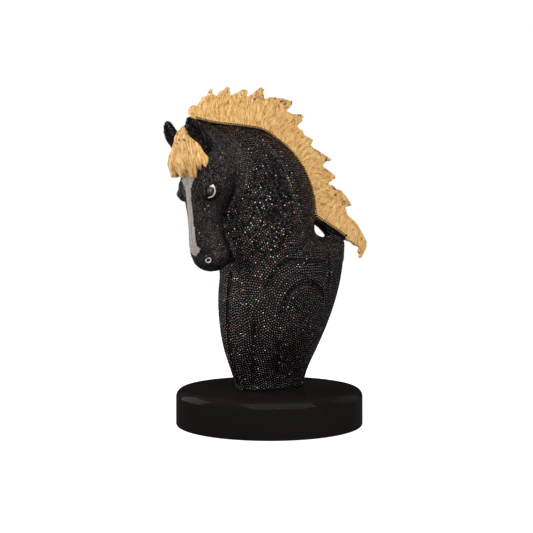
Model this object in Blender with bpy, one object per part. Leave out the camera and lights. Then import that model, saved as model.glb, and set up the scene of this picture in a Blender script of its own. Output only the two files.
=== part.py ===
"""Horse head figurine on a round plinth, modelled in metres with +Z up.

The origin is the middle of the plinth's underside. The horse looks along -Y and its left
side is +X. The figure is one casting, with a gilded mane set in its crest and a gilded
forelock laid over its forehead.
"""
import math

import bmesh
import bpy
import numpy as np
from mathutils import Vector
from mathutils.bvhtree import BVHTree

# Driving sizes, in metres
PLINTH_DIAMETER = 0.200
PLINTH_HEIGHT = 0.0386
PLINTH_TOP_EDGE = 0.0085
PLINTH_BOTTOM_EDGE = 0.002
FIGURE_HEIGHT = 0.280
FIGURE_FORWARD = 0.0
GAP = 0.0003
MANE_ROOT_THICKNESS = 0.0078
MANE_TIP_THICKNESS = 0.0026
MANE_SEAT_DEPTH = 0.003
MANE_STRAND_RELIEF = 0.0007
FORELOCK_THICKNESS = 0.0036
NOSTRIL_DEPTH = 0.0022
GROOVE_DEPTH = 0.0016
EYE_RIM_DEPTH = 0.0012

# Fineness of the surfaces
CLAY_GRAIN = 0.0017
PLATE_GRAIN = 0.0014
PLINTH_SEGMENTS = 48
BUST_TRIANGLES = 5900
MANE_TRIANGLES = 1800
RING_POINTS = 40
BODY_ROUNDS = 9
SHOULDER_ROUNDS = 24
SKIN_ROUNDS = 3
LINE_ROUNDS = 1
SEAM_STEP = 0.02
PLINTH_EDGE_STEPS = 5
TRUNK_STEPS = 34
NECK_STEPS = 45
HEAD_STEPS = 46
CURVE_STEPS = 4
LINE_STEPS = 8
ROOT_STEPS = 3
STRAND_STEPS = 12
SHARP_ANGLE = 35

# Finishes: colour, roughness and metallic of the stones, the gold leaf and the lacquer
STONES = ((0.015, 0.013, 0.014), 0.35, 0.0)
LEAF = ((0.72, 0.45, 0.17), 0.35, 1.0)
LACQUER = ((0.012, 0.009, 0.008), 0.12, 0.0)

# The figure's own proportions are parts of its height: 280 parts from foot to crest
PARTS_HIGH = 280.0
PART = FIGURE_HEIGHT / PARTS_HIGH

# Trunk sections from the foot up: height, front, rear, half width, place of the widest
# point, roundness of the front and of the rear (2 is an ellipse, less is more pointed)
TRUNK = (
    (-8, 40.5, -45, 22.5, -2, 2.1, 2.0),
    (0, 41, -45, 23, -2, 2.1, 2.0),
    (8, 43.5, -46, 24.5, -2, 2.1, 2.0),
    (20, 47.5, -50, 28.5, -3, 2.1, 2.0),
    (40, 53, -59.5, 37, -6, 2.2, 2.0),
    (60, 56, -68, 45, -10, 2.2, 2.0),
    (80, 57, -77, 50, -13, 2.2, 2.0),
    (100, 56, -85, 54, -15, 2.2, 1.95),
    (120, 53, -94, 56, -16, 2.1, 1.8),
    (138, 48, -103.5, 53, -16, 2.0, 1.6),
    (149, 42, -110.5, 44, -18, 2.0, 1.45),
    (157, 34, -115, 30, -22, 2.0, 1.35),
    (162, 20, -113, 11, -30, 2.0, 1.3),
)

# Neck sections fanned from the withers to the poll: crest point, throat point (forward
# and up), half width, share of the way from crest to throat where it is widest
NECK = (
    (-50, 156, 49, 98, 50, 0.60),
    (-60, 176, 54, 130, 48, 0.59),
    (-62, 198, 61, 149, 45, 0.58),
    (-58, 215, 62, 166, 41, 0.57),
    (-48, 234, 62, 180, 38, 0.56),
    (-33, 251, 62, 192, 36, 0.56),
    (-12, 265, 64, 201, 34, 0.55),
    (9, 274.5, 68, 208, 32, 0.55),
    (38, 276.5, 74, 214, 30, 0.55),
    (64, 276.5, 81, 220, 28, 0.55),
    (86, 277, 88, 228, 26, 0.55),
    (102, 278, 97, 238, 22, 0.55),
)
CREST_ROUNDNESS = 1.5
THROAT_ROUNDNESS = 2.2

# Withers: the saddle that fills the corner between neck and trunk (forward, top, half width)
WITHERS = ((-46, 179, 27), (-55, 173, 22), (-61, 168.5, 18), (-67, 165, 16), (-75, 162.8, 14),
           (-84, 161, 12), (-96, 158.5, 9.5), (-108, 156, 7))
WITHERS_BASE = 140
WITHERS_UNDER = 12
SHOULDER = ((-45, 32, 152), 34)

# Head sections from the muzzle up: height, face line, jaw line, half width, place of the
# widest point, roundness of the front and of the rear
HEAD = (
    (124.5, 82, 74, 5, 78, 2.0, 2.0),
    (127, 87.5, 67, 12, 78, 2.1, 2.1),
    (132, 93, 61.5, 18, 78, 2.2, 2.1),
    (139, 96.5, 58, 21, 78, 2.2, 2.1),
    (147, 99.5, 57, 20.5, 79, 2.2, 2.1),
    (156, 101.8, 61, 18, 82, 2.1, 2.1),
    (166, 102.6, 65, 16.2, 84, 2.1, 2.1),
    (182, 103.5, 66, 17, 85, 2.2, 2.1),
    (195, 105, 59, 21, 84, 2.2, 2.1),
    (208, 106, 52, 25.5, 83, 2.2, 2.1),
    (221, 108.5, 47, 28, 81, 2.2, 2.1),
    (236, 112, 47, 28.5, 80, 2.2, 2.1),
    (250, 114.5, 54, 27, 82, 2.1, 2.0),
    (262, 114.5, 64, 23, 86, 2.0, 2.0),
    (271, 111, 74, 15, 92, 2.0, 2.0),
    (276, 104, 84, 7, 95, 2.0, 2.0),
)

# Eyeball and brow: forward, left, up, radius
EYE = (94.8, 21.8, 205.0, 9.0)
BROW = (95.0, 19.0, 212.5, 8.8)
BALL_SEGMENTS = 24

# Ear: line of the shell from root to tip (forward, left, up), its half widths there and
# the direction that its opening faces
EAR_LINE = (
    (94, 18, 242),
    (97.5, 21.5, 249),
    (102.5, 23.5, 256),
    (108.5, 23, 262.8),
    (114, 20, 268.6),
    (117.8, 16.5, 272.4),
    (119.6, 13.5, 274.4),
)
EAR_HALF_WIDTHS = (5.4, 7.6, 9.6, 10.6, 9.8, 7.4, 4.6)
EAR_OPENING = (0.98, -0.12, 0.1)
EAR_WALL = 5.4
EAR_WALL_SHARE = 0.62
EAR_CUP = 0.95
EAR_SET_BACK = 0.45
EAR_WRAP = 95
EAR_POINTS = 12

# Bridge of the casting that carries the mane back to the withers (forward, up)
BRIDGE = ((-54, 184, 5.0), (-64, 181.5, 4.4), (-76, 176, 4.4), (-88, 169, 6.4), (-103, 160, 7.5))
BRIDGE_HALF_WIDTH = 6.0
BRIDGE_LEAN = 0.5
BRIDGE_SQUASH = 0.8
BRIDGE_POINTS = 16

# Root line of the mane on the crest, from the poll to the withers (forward, up)
MANE_ROOT = (
    (103, 280), (82, 277.5), (60, 277), (36, 277), (12, 275.5), (-10, 266), (-28, 255.5),
    (-45, 239.5), (-57, 220), (-63, 202), (-65.5, 186.5), (-80, 179), (-98, 170.5),
    (-114, 162.5),
)
# Outer edge of the mane from the poll back over its flame tufts to the hooked tail
MANE_EDGE = (
    (104.2, 288.5), (99.9, 292.5), (97.1, 291), (94.8, 292), (90.9, 296.5), (88.7, 301.8),
    (81.7, 303.5), (81.3, 306.9), (77.6, 311.4), (76.5, 310.5), (77.8, 306), (74.5, 305.7),
    (71.6, 303.2), (64.6, 311), (61, 312), (56.8, 315.8), (54.5, 315.1), (53.8, 306.2),
    (35.6, 315.5), (30.6, 314.9), (31.9, 309.2), (29.9, 308), (12.1, 320.3), (7.5, 318.3),
    (9.5, 315.7), (7.6, 308.5), (-2.9, 311.5), (-10.7, 311.8), (-20, 311.8), (-32.4, 310.1),
    (-31.1, 305.7), (-22.8, 298.6), (-32.4, 296.1), (-45.3, 297.4), (-49, 295.4),
    (-46, 292.3), (-46.8, 290), (-40.9, 286.2), (-39.1, 282.6), (-47, 279.4), (-49.5, 274.6),
    (-62.7, 270.6), (-60.1, 264.3), (-62.2, 262.2), (-91.1, 251), (-90.9, 249.2),
    (-85, 248.6), (-77.5, 243.3), (-78.4, 241.7), (-96.9, 233.1), (-97.3, 229.4),
    (-87.5, 223.7), (-86.9, 222), (-94.8, 220.8), (-98.8, 217.8), (-107.6, 215.8),
    (-123.7, 201.1), (-123, 199.1), (-112.8, 197.3), (-117.7, 187.6), (-132, 179),
    (-148.7, 158.4), (-148.8, 152.8), (-147.1, 148.9), (-140.7, 139.5), (-138.7, 138.6),
    (-137.1, 140.1), (-138.4, 143.6), (-135.3, 145.7), (-137.8, 149.2), (-136.6, 152.1),
    (-129.1, 153.6), (-124.6, 157), (-118.1, 158.4),
)
MANE_STRANDS = 46
MANE_REACH = 34
STRAND_LEAN = 0.6
STRAND_FADE = 0.4

# Forelock: its half spread round the forehead in degrees, by height, and the heights
# where its locks end, from the horse's right to its left
FORELOCK_SPREAD = ((216, 56), (233, 56), (241.5, 49), (251.5, 41), (256, 30), (264, 18), (270, 6))
FORELOCK_LOCKS = (224, 219, 222, 217, 219, 216, 218, 226, 222, 225, 230)
LOCK_NOTCH = 6.0
LOCK_COLUMNS = 3
FORELOCK_ROWS = 6
FORELOCK_SINK = 2.0
FORELOCK_FULLNESS = (0.25, 1.2, 0.45)
# How far the locks on the horse's right stand off the forehead at the hem, how fast that
# grows across the fan and down it, and the share of it that is hollow underneath
FORELOCK_LIFT = 7.0
LIFT_ACROSS = 0.7
LIFT_DOWN = 1.25
LIFT_HOLLOW = 0.45
LOCK_CROWN = (0.7, 0.5)

# Lines carved in the clay on both sides: forward, left and up of a few points, then the
# half width of the line and its depth as a share of GROOVE_DEPTH, less than 0 for a ridge
LINES = (
    (((54, 0, 121), (57, 0, 95), (56, 0, 65), (52, 0, 35), (41, 0, 6)), 2.8, 1.5),
    (((37, 38, 108), (27, 44, 125), (15, 48, 135), (-3, 53, 136), (-36, 51, 134)), 2.4, 1.1),
    (((-47, 45, 143), (-43, 50, 128), (-40, 51, 112)), 2.6, 0.8),
    (((20, 45, 81), (16, 49, 98), (6, 53, 109), (-9, 55, 112), (-24, 54, 106),
      (-31, 51, 95)), 2.4, 1.1),
    (((45, 28, 70), (42, 24, 45), (35, 15, 7)), 3.0, 0.6),
    (((19, 37, 48), (15, 32, 33), (10, 27, 17)), 3.0, 0.5),
    (((26, 22, 263), (10, 30, 244), (-1, 36, 220), (-7, 40, 196), (-7, 41, 182)), 3.2, -0.9),
    (((21, 25, 261), (5, 32, 242), (-6, 35, 219), (-12, 38, 196), (-12, 40, 182)), 3.2, 0.8),
    (((36, 32, 235), (22, 37, 208), (17, 39, 190)), 3.2, -0.7),
    (((31, 33, 233), (17, 37, 207), (12, 39, 190)), 3.2, 0.7),
    (((39, 30, 186), (40, 31, 160)), 3.4, -0.6),
    (((77, 20, 146), (76, 20, 136), (75, 12, 128)), 2.0, 1.0),
)
NOSTRIL = (90.0, 14.5, 138.0, 2.0)
EYE_RIM = (99.0, 27.0, 204.5, 5.6, 4.6)
EYE_LOOK = (0.64, 0.77, 0.0)
EYE_RIM_WIDTH = 1.7
EYE_RIM_POINTS = 24


def spot(forward, left, up):
    """A place on the figure, from its own parts to the model's metres."""
    return Vector((left * PART, -forward * PART - FIGURE_FORWARD,
                   PLINTH_HEIGHT + GAP + up * PART))


def read_rows(rows, at):
    """Read a table smoothly at a value of its first column, as cubic Hermite pieces."""
    table = np.array(rows, dtype=float)
    keys = table[:, 0]
    slopes = np.gradient(table, keys, axis=0)
    at = min(max(at, keys[0]), keys[-1])
    i = int(min(np.searchsorted(keys, at, side="right") - 1, len(keys) - 2))
    span = keys[i + 1] - keys[i]
    t = (at - keys[i]) / span
    value = ((2 * t ** 3 - 3 * t ** 2 + 1) * table[i]
             + (t ** 3 - 2 * t ** 2 + t) * span * slopes[i]
             + (3 * t ** 2 - 2 * t ** 3) * table[i + 1]
             + (t ** 3 - t ** 2) * span * slopes[i + 1])
    return value


def smooth_line(points, steps):
    """A smooth line through points, with a number of steps to each stretch."""
    rows = [(i, *point) for i, point in enumerate(points)]
    count = (len(points) - 1) * steps
    return [tuple(read_rows(rows, i / steps)[1:]) for i in range(count + 1)]


def egg(front, rear, half_width, widest, round_front, round_rear):
    """An egg-shaped section as pairs of forward and left, turning to the left."""
    ring = []
    for i in range(RING_POINTS):
        turn = 2 * math.pi * i / RING_POINTS
        c, s = math.cos(turn), math.sin(turn)
        reach = front - widest if c > 0 else widest - rear
        power = 2 / (round_front if c > 0 else round_rear)
        ring.append((widest + math.copysign(reach * abs(c) ** power, c),
                     math.copysign(half_width * abs(s) ** power, s)))
    return ring


def loft(mesh, rings):
    """Bridge a row of rings into one closed body."""
    loops = []
    for ring in rings:
        verts = [mesh.verts.new(point) for point in ring]
        loops.append([mesh.edges.new((a, b)) for a, b in zip(verts, verts[1:] + verts[:1])])
    for low, high in zip(loops, loops[1:]):
        bmesh.ops.bridge_loops(mesh, edges=low + high)
    for end in (loops[0], loops[-1]):
        bmesh.ops.edgeloop_fill(mesh, edges=end)


def finish(mesh, name):
    """Turn a bmesh into an object with all faces outward."""
    bmesh.ops.recalc_face_normals(mesh, faces=mesh.faces)
    data = bpy.data.meshes.new(name)
    mesh.to_mesh(data)
    mesh.free()
    made = bpy.data.objects.new(name, data)
    bpy.context.collection.objects.link(made)
    return made


def settle(made):
    """Apply an object's modifiers to its mesh."""
    bpy.context.view_layer.update()
    seen = made.evaluated_get(bpy.context.evaluated_depsgraph_get())
    data = bpy.data.meshes.new_from_object(seen)
    made.modifiers.clear()
    old = made.data
    made.data = data
    bpy.data.meshes.remove(old)
    data.name = made.name


def fuse(made, grain):
    """Fuse the overlapping bodies of a mesh into one closed skin."""
    skin = made.modifiers.new("fuse", "REMESH")
    skin.mode = "VOXEL"
    skin.voxel_size = grain
    settle(made)


def relax(made, rounds, centres=(), radius=0.0):
    """Smooth a skin a little, as a thumb does with clay, all over or about some places."""
    mesh = bmesh.new()
    mesh.from_mesh(made.data)
    verts = [vert for vert in mesh.verts
             if not centres or any((vert.co - centre).length < radius for centre in centres)]
    for _ in range(rounds):
        bmesh.ops.smooth_vert(mesh, verts=verts, factor=0.5, use_axis_x=True,
                              use_axis_y=True, use_axis_z=True)
    mesh.to_mesh(made.data)
    mesh.free()


def thin_out(made, triangles):
    """Reduce a skin to about a number of triangles."""
    mesh = bmesh.new()
    mesh.from_mesh(made.data)
    bmesh.ops.triangulate(mesh, faces=mesh.faces)
    count = len(mesh.faces)
    mesh.to_mesh(made.data)
    mesh.free()
    fewer = made.modifiers.new("thin_out", "DECIMATE")
    fewer.ratio = min(1.0, triangles / count)
    settle(made)


def cut(made, cutter):
    """Take a cutter away from an object, and delete the cutter."""
    less = made.modifiers.new("cut", "BOOLEAN")
    less.operation = "DIFFERENCE"
    less.object = cutter
    settle(made)
    bpy.data.objects.remove(cutter)


def add_trunk(mesh):
    """Chest and shoulders down to the foot."""
    heights = np.linspace(TRUNK[0][0], TRUNK[-1][0], TRUNK_STEPS)
    rings = []
    for up in heights:
        section = egg(*read_rows(TRUNK, up)[1:])
        rings.append([spot(forward, left, up) for forward, left in section])
    loft(mesh, rings)


def add_neck(mesh):
    """The arched neck, as sections fanned about the throat."""
    rows = [(i, *row) for i, row in enumerate(NECK)]
    rings = []
    for step in np.linspace(0, len(NECK) - 1, NECK_STEPS):
        values = read_rows(rows, step)[1:]
        crest, throat = Vector(values[0:2]), Vector(values[2:4])
        half_width, share = values[4], values[5]
        length = (throat - crest).length
        along = (throat - crest) / length
        section = egg(0, -length, half_width, -share * length,
                      CREST_ROUNDNESS, THROAT_ROUNDNESS)
        ring = []
        for depth, left in section:
            place = crest - along * depth
            ring.append(spot(place.x, left, place.y))
        rings.append(ring)
    loft(mesh, rings)


def add_withers(mesh):
    """The saddle between neck and trunk, under the opening."""
    rings = []
    for forward, top, half_width in smooth_line(WITHERS, CURVE_STEPS):
        ring = []
        for i in range(RING_POINTS):
            turn = 2 * math.pi * i / RING_POINTS
            height = top - WITHERS_BASE if math.sin(turn) > 0 else WITHERS_UNDER
            ring.append(spot(forward, half_width * math.cos(turn),
                             WITHERS_BASE + height * math.sin(turn)))
        rings.append(ring)
    loft(mesh, rings)


def add_head(mesh):
    """Muzzle, face, cheeks and forehead."""
    heights = np.linspace(HEAD[0][0], HEAD[-1][0], HEAD_STEPS)
    rings = []
    for up in heights:
        section = egg(*read_rows(HEAD, up)[1:])
        rings.append([spot(forward, left, up) for forward, left in section])
    loft(mesh, rings)


def add_ball(mesh, forward, left, up, radius):
    """A ball of clay."""
    ball = bmesh.ops.create_uvsphere(mesh, u_segments=BALL_SEGMENTS,
                                     v_segments=BALL_SEGMENTS // 2, radius=radius * PART)
    bmesh.ops.translate(mesh, verts=ball["verts"], vec=spot(forward, left, up))


def add_ear(mesh, side):
    """A cupped ear, as crescent sections from root to tip."""
    line = [Vector(point) for point in EAR_LINE]
    opening = Vector(EAR_OPENING).normalized()
    rings = []
    for i, centre in enumerate(line):
        along = (line[min(i + 1, len(line) - 1)] - line[max(i - 1, 0)]).normalized()
        across = along.cross(opening).normalized()
        face = across.cross(along).normalized()
        wide = EAR_HALF_WIDTHS[i]
        wall = min(EAR_WALL, wide * EAR_WALL_SHARE)
        ring = []
        for outer in (True, False):
            reach = wide if outer else wide - wall
            turns = np.radians(np.linspace(-EAR_WRAP, EAR_WRAP, EAR_POINTS))
            for turn in (turns if outer else turns[::-1]):
                place = (centre + across * reach * math.sin(turn)
                         - face * EAR_CUP * (reach * math.cos(turn) - wide * EAR_SET_BACK))
                ring.append(spot(place.x, side * place.y, place.z))
        rings.append(ring)
    loft(mesh, rings)


def add_bridge(mesh):
    """The bar under the mane that spans the opening behind the neck."""
    rings = []
    for forward, up, half_height in smooth_line(BRIDGE, CURVE_STEPS):
        ring = []
        for i in range(BRIDGE_POINTS):
            turn = 2 * math.pi * i / BRIDGE_POINTS
            ring.append(spot(forward - BRIDGE_LEAN * half_height * math.sin(turn),
                             BRIDGE_HALF_WIDTH * math.cos(turn),
                             up + BRIDGE_SQUASH * half_height * math.sin(turn)))
        rings.append(ring)
    loft(mesh, rings)


def carve(made):
    """Press the lines, nostrils and eye rims into the skin, or raise them."""
    skin = BVHTree.FromObject(made, bpy.context.evaluated_depsgraph_get())
    count = len(made.data.vertices)
    places = np.empty(count * 3)
    made.data.vertices.foreach_get("co", places)
    places = places.reshape(count, 3)
    normals = np.array([vert.normal[:] for vert in made.data.vertices])
    lines = [(smooth_line(points, LINE_STEPS), width, share * GROOVE_DEPTH)
             for points, width, share in LINES]
    forward, left, up, radius = NOSTRIL
    lines.append(([(forward, left, up)], radius, NOSTRIL_DEPTH))
    lines.append((eye_rim(), EYE_RIM_WIDTH, EYE_RIM_DEPTH))
    moved = np.zeros(count)
    for points, width, depth in lines:
        for side in (1, -1):
            seats = np.array([skin.find_nearest(spot(f, side * l, u))[0][:]
                              for f, l, u in points])
            gaps = np.min([np.linalg.norm(places - seat, axis=1) for seat in seats], axis=0)
            press = depth * np.exp(-(gaps / (width * PART)) ** 2)
            moved = np.where(np.abs(press) > np.abs(moved), press, moved)
    made.data.vertices.foreach_set("co", (places - normals * moved[:, None]).ravel())
    made.data.update()


def eye_rim():
    """Points round the left eye, on a plane that faces where the eye looks."""
    forward, left, up, wide, high = EYE_RIM
    look = Vector(EYE_LOOK).normalized()
    across = look.cross(Vector((0, 0, 1))).normalized()
    points = []
    for i in range(EYE_RIM_POINTS):
        turn = 2 * math.pi * i / EYE_RIM_POINTS
        points.append(Vector((forward, left, up)) + across * wide * math.cos(turn)
                      + Vector((0, 0, high * math.sin(turn))))
    return points


def crest_outline(inner, outer):
    """A band along the mane's root line, from inner to outer parts off the line."""
    line = [Vector(point) for point in smooth_line(MANE_ROOT, ROOT_STEPS)]
    sides = ([], [])
    for i, point in enumerate(line):
        along = (line[min(i + 1, len(line) - 1)] - line[max(i - 1, 0)]).normalized()
        out = Vector((along.y, -along.x))
        for side, offset in zip(sides, (inner, outer)):
            side.append(point + out * offset)
    return sides[0] + sides[1][::-1]


def plate(outline, half_thickness, name):
    """A flat plate on the middle plane, from its outline of forward and up."""
    mesh = bmesh.new()
    left = half_thickness / PART
    face = mesh.faces.new([mesh.verts.new(spot(p[0], -left, p[1])) for p in outline])
    grown = bmesh.ops.extrude_face_region(mesh, geom=[face])
    verts = [item for item in grown["geom"] if isinstance(item, bmesh.types.BMVert)]
    bmesh.ops.translate(mesh, verts=verts, vec=(2 * half_thickness, 0, 0))
    bmesh.ops.triangulate(mesh, faces=mesh.faces)
    return finish(mesh, name)


def mane_outline():
    """The mane's outline: down the root line, then back over the tail and the tufts."""
    seat = MANE_SEAT_DEPTH / PART
    root = crest_outline(-seat, 0)[:len(smooth_line(MANE_ROOT, ROOT_STEPS))]
    return root + [Vector(point) for point in MANE_EDGE[::-1]]


def make_mane():
    """The mane: a tapering crest of flame tufts with strands, seated in the neck."""
    made = plate(mane_outline(), MANE_ROOT_THICKNESS / 2, "mane")
    fuse(made, PLATE_GRAIN)
    root = np.array(smooth_line(MANE_ROOT, STRAND_STEPS))
    steps = np.linspace(0, 1, len(root))
    for vert in made.data.vertices:
        forward = -(vert.co.y + FIGURE_FORWARD) / PART
        up = (vert.co.z - PLINTH_HEIGHT - GAP) / PART
        gaps = np.hypot(root[:, 0] - forward, root[:, 1] - up)
        nearest = int(gaps.argmin())
        reach = gaps[nearest] * PART
        away = min(1.0, reach / (MANE_REACH * PART))
        if reach < MANE_SEAT_DEPTH + GAP:
            continue
        thin = 1 + (MANE_TIP_THICKNESS / MANE_ROOT_THICKNESS - 1) * away
        wave = math.sin(2 * math.pi * (steps[nearest] * MANE_STRANDS + STRAND_LEAN * away))
        vert.co.x *= thin
        relief = MANE_STRAND_RELIEF * wave * (1 - STRAND_FADE * away)
        vert.co.x += math.copysign(relief, vert.co.x)
    thin_out(made, MANE_TRIANGLES)
    return made


def make_bust():
    """The casting: trunk, neck, head, ears and the bridge under the mane."""
    mesh = bmesh.new()
    add_trunk(mesh)
    add_neck(mesh)
    add_withers(mesh)
    add_head(mesh)
    made = finish(mesh, "bust")
    fuse(made, CLAY_GRAIN)
    relax(made, BODY_ROUNDS)
    (forward, left, up), reach = SHOULDER
    relax(made, SHOULDER_ROUNDS, [spot(forward, side * left, up) for side in (1, -1)],
          reach * PART)
    mesh = bmesh.new()
    mesh.from_mesh(made.data)
    for side in (1, -1):
        add_ear(mesh, side)
        for forward, left, up, radius in (EYE, BROW):
            add_ball(mesh, forward, side * left, up, radius)
    add_bridge(mesh)
    bmesh.ops.recalc_face_normals(mesh, faces=mesh.faces)
    mesh.to_mesh(made.data)
    mesh.free()
    fuse(made, CLAY_GRAIN)
    relax(made, SKIN_ROUNDS)
    carve(made)
    relax(made, LINE_ROUNDS)
    trim_foot(made)
    thin_out(made, BUST_TRIANGLES)
    return made


def trim_foot(made):
    """Cut the figure flat where it stands on the plinth."""
    mesh = bmesh.new()
    mesh.from_mesh(made.data)
    every = list(mesh.verts) + list(mesh.edges) + list(mesh.faces)
    split = bmesh.ops.bisect_plane(mesh, geom=every, dist=1e-7, plane_co=spot(0, 0, 0),
                                   plane_no=(0, 0, 1), clear_inner=True)
    rim = [item for item in split["geom_cut"] if isinstance(item, bmesh.types.BMEdge)]
    bmesh.ops.edgeloop_fill(mesh, edges=rim)
    mesh.to_mesh(made.data)
    mesh.free()


def seat_mane(bust):
    """Cut the mane's seat along the crest, with clearance all round."""
    depth = (MANE_SEAT_DEPTH + GAP) / PART
    seat = plate(crest_outline(-depth, 4 * depth), MANE_ROOT_THICKNESS / 2 + GAP, "seat")
    cut(bust, seat)


def lock_shape(across):
    """How far a place across the forelock is from the notch beside its lock, 0 to 1."""
    place = (across + 1) / 2 * len(FORELOCK_LOCKS)
    index = min(int(place), len(FORELOCK_LOCKS) - 1)
    return index, math.sin(math.pi * (place - index))


def forehead(up, turn):
    """A place on the forehead and the way out of it, by height and turn from the face."""
    ring = []
    for step in (turn - SEAM_STEP, turn, turn + SEAM_STEP):
        front, rear, half_width, widest, round_front, _ = read_rows(HEAD, up)[1:]
        c, s = math.cos(step), math.sin(step)
        power = 2 / round_front
        ring.append(Vector((widest + (front - widest) * abs(c) ** power,
                            math.copysign(half_width * abs(s) ** power, s), up)))
    along = ring[2] - ring[0]
    out = Vector((along.y, -along.x, 0)).normalized()
    return ring[1], out


def make_forelock(bust):
    """The forelock: a fan of locks that follows the forehead between the ears."""
    columns = len(FORELOCK_LOCKS) * LOCK_COLUMNS
    top = FORELOCK_SPREAD[-1][0]
    mesh = bmesh.new()
    sheets = []
    for outer in (False, True):
        sheet = []
        for j in range(columns + 1):
            across = 2 * j / columns - 1
            index, shape = lock_shape(across)
            end = FORELOCK_LOCKS[index] + LOCK_NOTCH * (1 - shape)
            line = []
            for i in range(FORELOCK_ROWS + 1):
                down = i / FORELOCK_ROWS
                up = top + (end - top) * down
                spread = math.radians(read_rows(FORELOCK_SPREAD, up)[1])
                place, out = forehead(up, across * spread)
                start, swell, fall = FORELOCK_FULLNESS
                full = math.sin(math.pi * min(1, start + down * swell) / 2) * (1 - fall * down)
                low, crown = LOCK_CROWN
                rise = FORELOCK_THICKNESS / PART * full * (low + crown * shape)
                lift = (FORELOCK_LIFT * max(0.0, -across) ** LIFT_ACROSS
                        * min(1.0, LIFT_DOWN * down) ** 2)
                place += out * (lift + rise if outer else LIFT_HOLLOW * lift - FORELOCK_SINK)
                line.append(mesh.verts.new(spot(*place)))
            sheet.append(line)
        sheets.append(sheet)
    inner, outer = sheets
    for j in range(columns):
        for i in range(FORELOCK_ROWS):
            for sheet in sheets:
                mesh.faces.new((sheet[j][i], sheet[j][i + 1], sheet[j + 1][i + 1],
                                sheet[j + 1][i]))
        for i in (0, FORELOCK_ROWS):
            mesh.faces.new((inner[j][i], inner[j + 1][i], outer[j + 1][i], outer[j][i]))
    for j in (0, columns):
        for i in range(FORELOCK_ROWS):
            mesh.faces.new((inner[j][i], inner[j][i + 1], outer[j][i + 1], outer[j][i]))
    made = finish(mesh, "forelock")
    seat = bpy.data.objects.new("forehead", bust.data.copy())
    bpy.context.collection.objects.link(seat)
    grown = seat.modifiers.new("gap", "DISPLACE")
    grown.strength = GAP
    grown.mid_level = 0
    settle(seat)
    cut(made, seat)
    keep_largest(made)
    return made


def keep_largest(made):
    """Drop the crumbs that a cut leaves beside the main body."""
    mesh = bmesh.new()
    mesh.from_mesh(made.data)
    left = set(mesh.verts)
    bodies = []
    while left:
        body, edge = set(), [left.pop()]
        while edge:
            vert = edge.pop()
            body.add(vert)
            near = {e.other_vert(vert) for e in vert.link_edges} & left
            left -= near
            edge.extend(near)
        bodies.append(body)
    bodies.sort(key=len)
    for body in bodies[:-1]:
        bmesh.ops.delete(mesh, geom=list(body), context="VERTS")
    mesh.to_mesh(made.data)
    mesh.free()


def make_plinth():
    """The turned plinth, with a rounded top edge."""
    radius = PLINTH_DIAMETER / 2
    outline = [(0, 0), (radius - PLINTH_BOTTOM_EDGE, 0), (radius, PLINTH_BOTTOM_EDGE)]
    for i in range(PLINTH_EDGE_STEPS + 1):
        turn = math.pi / 2 * i / PLINTH_EDGE_STEPS
        outline.append((radius - PLINTH_TOP_EDGE * (1 - math.cos(turn)),
                        PLINTH_HEIGHT - PLINTH_TOP_EDGE * (1 - math.sin(turn))))
    outline.append((0, PLINTH_HEIGHT))
    mesh = bmesh.new()
    verts = [mesh.verts.new((x, 0, z)) for x, z in outline]
    edges = [mesh.edges.new(pair) for pair in zip(verts, verts[1:])]
    bmesh.ops.spin(mesh, geom=verts + edges, cent=(0, 0, 0), axis=(0, 0, 1),
                   angle=2 * math.pi, steps=PLINTH_SEGMENTS, use_merge=True)
    bmesh.ops.remove_doubles(mesh, verts=mesh.verts, dist=1e-6)
    return finish(mesh, "plinth")


def paint(made, colour, roughness, metallic):
    """Give an object its own plain material."""
    material = bpy.data.materials.new(made.name)
    material.use_nodes = True
    shader = material.node_tree.nodes["Principled BSDF"]
    shader.inputs["Base Color"].default_value = (*colour, 1)
    shader.inputs["Roughness"].default_value = roughness
    shader.inputs["Metallic"].default_value = metallic
    made.data.materials.clear()
    made.data.materials.append(material)
    made.data.shade_smooth()
    made.data.set_sharp_from_angle(angle=math.radians(SHARP_ANGLE))


def main():
    for old in list(bpy.data.objects):
        bpy.data.objects.remove(old)
    paint(make_plinth(), *LACQUER)
    bust = make_bust()
    forelock = make_forelock(bust)
    mane = make_mane()
    seat_mane(bust)
    paint(bust, *STONES)
    paint(mane, *LEAF)
    paint(forelock, *LEAF)


main()
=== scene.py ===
"""Horse head figurine: black stones all over, a gold leaf mane and a lacquered plinth.

Places on the figure are in parts of 1 mm: forward, left and up from the middle of its foot.
"""
import heapq
import math

import bmesh
import bpy
import numpy as np
from bpy.props import FloatProperty, FloatVectorProperty, IntProperty, PointerProperty
from mathutils import Matrix, Vector, noise
from mathutils.bvhtree import BVHTree
from mathutils.kdtree import KDTree


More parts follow.
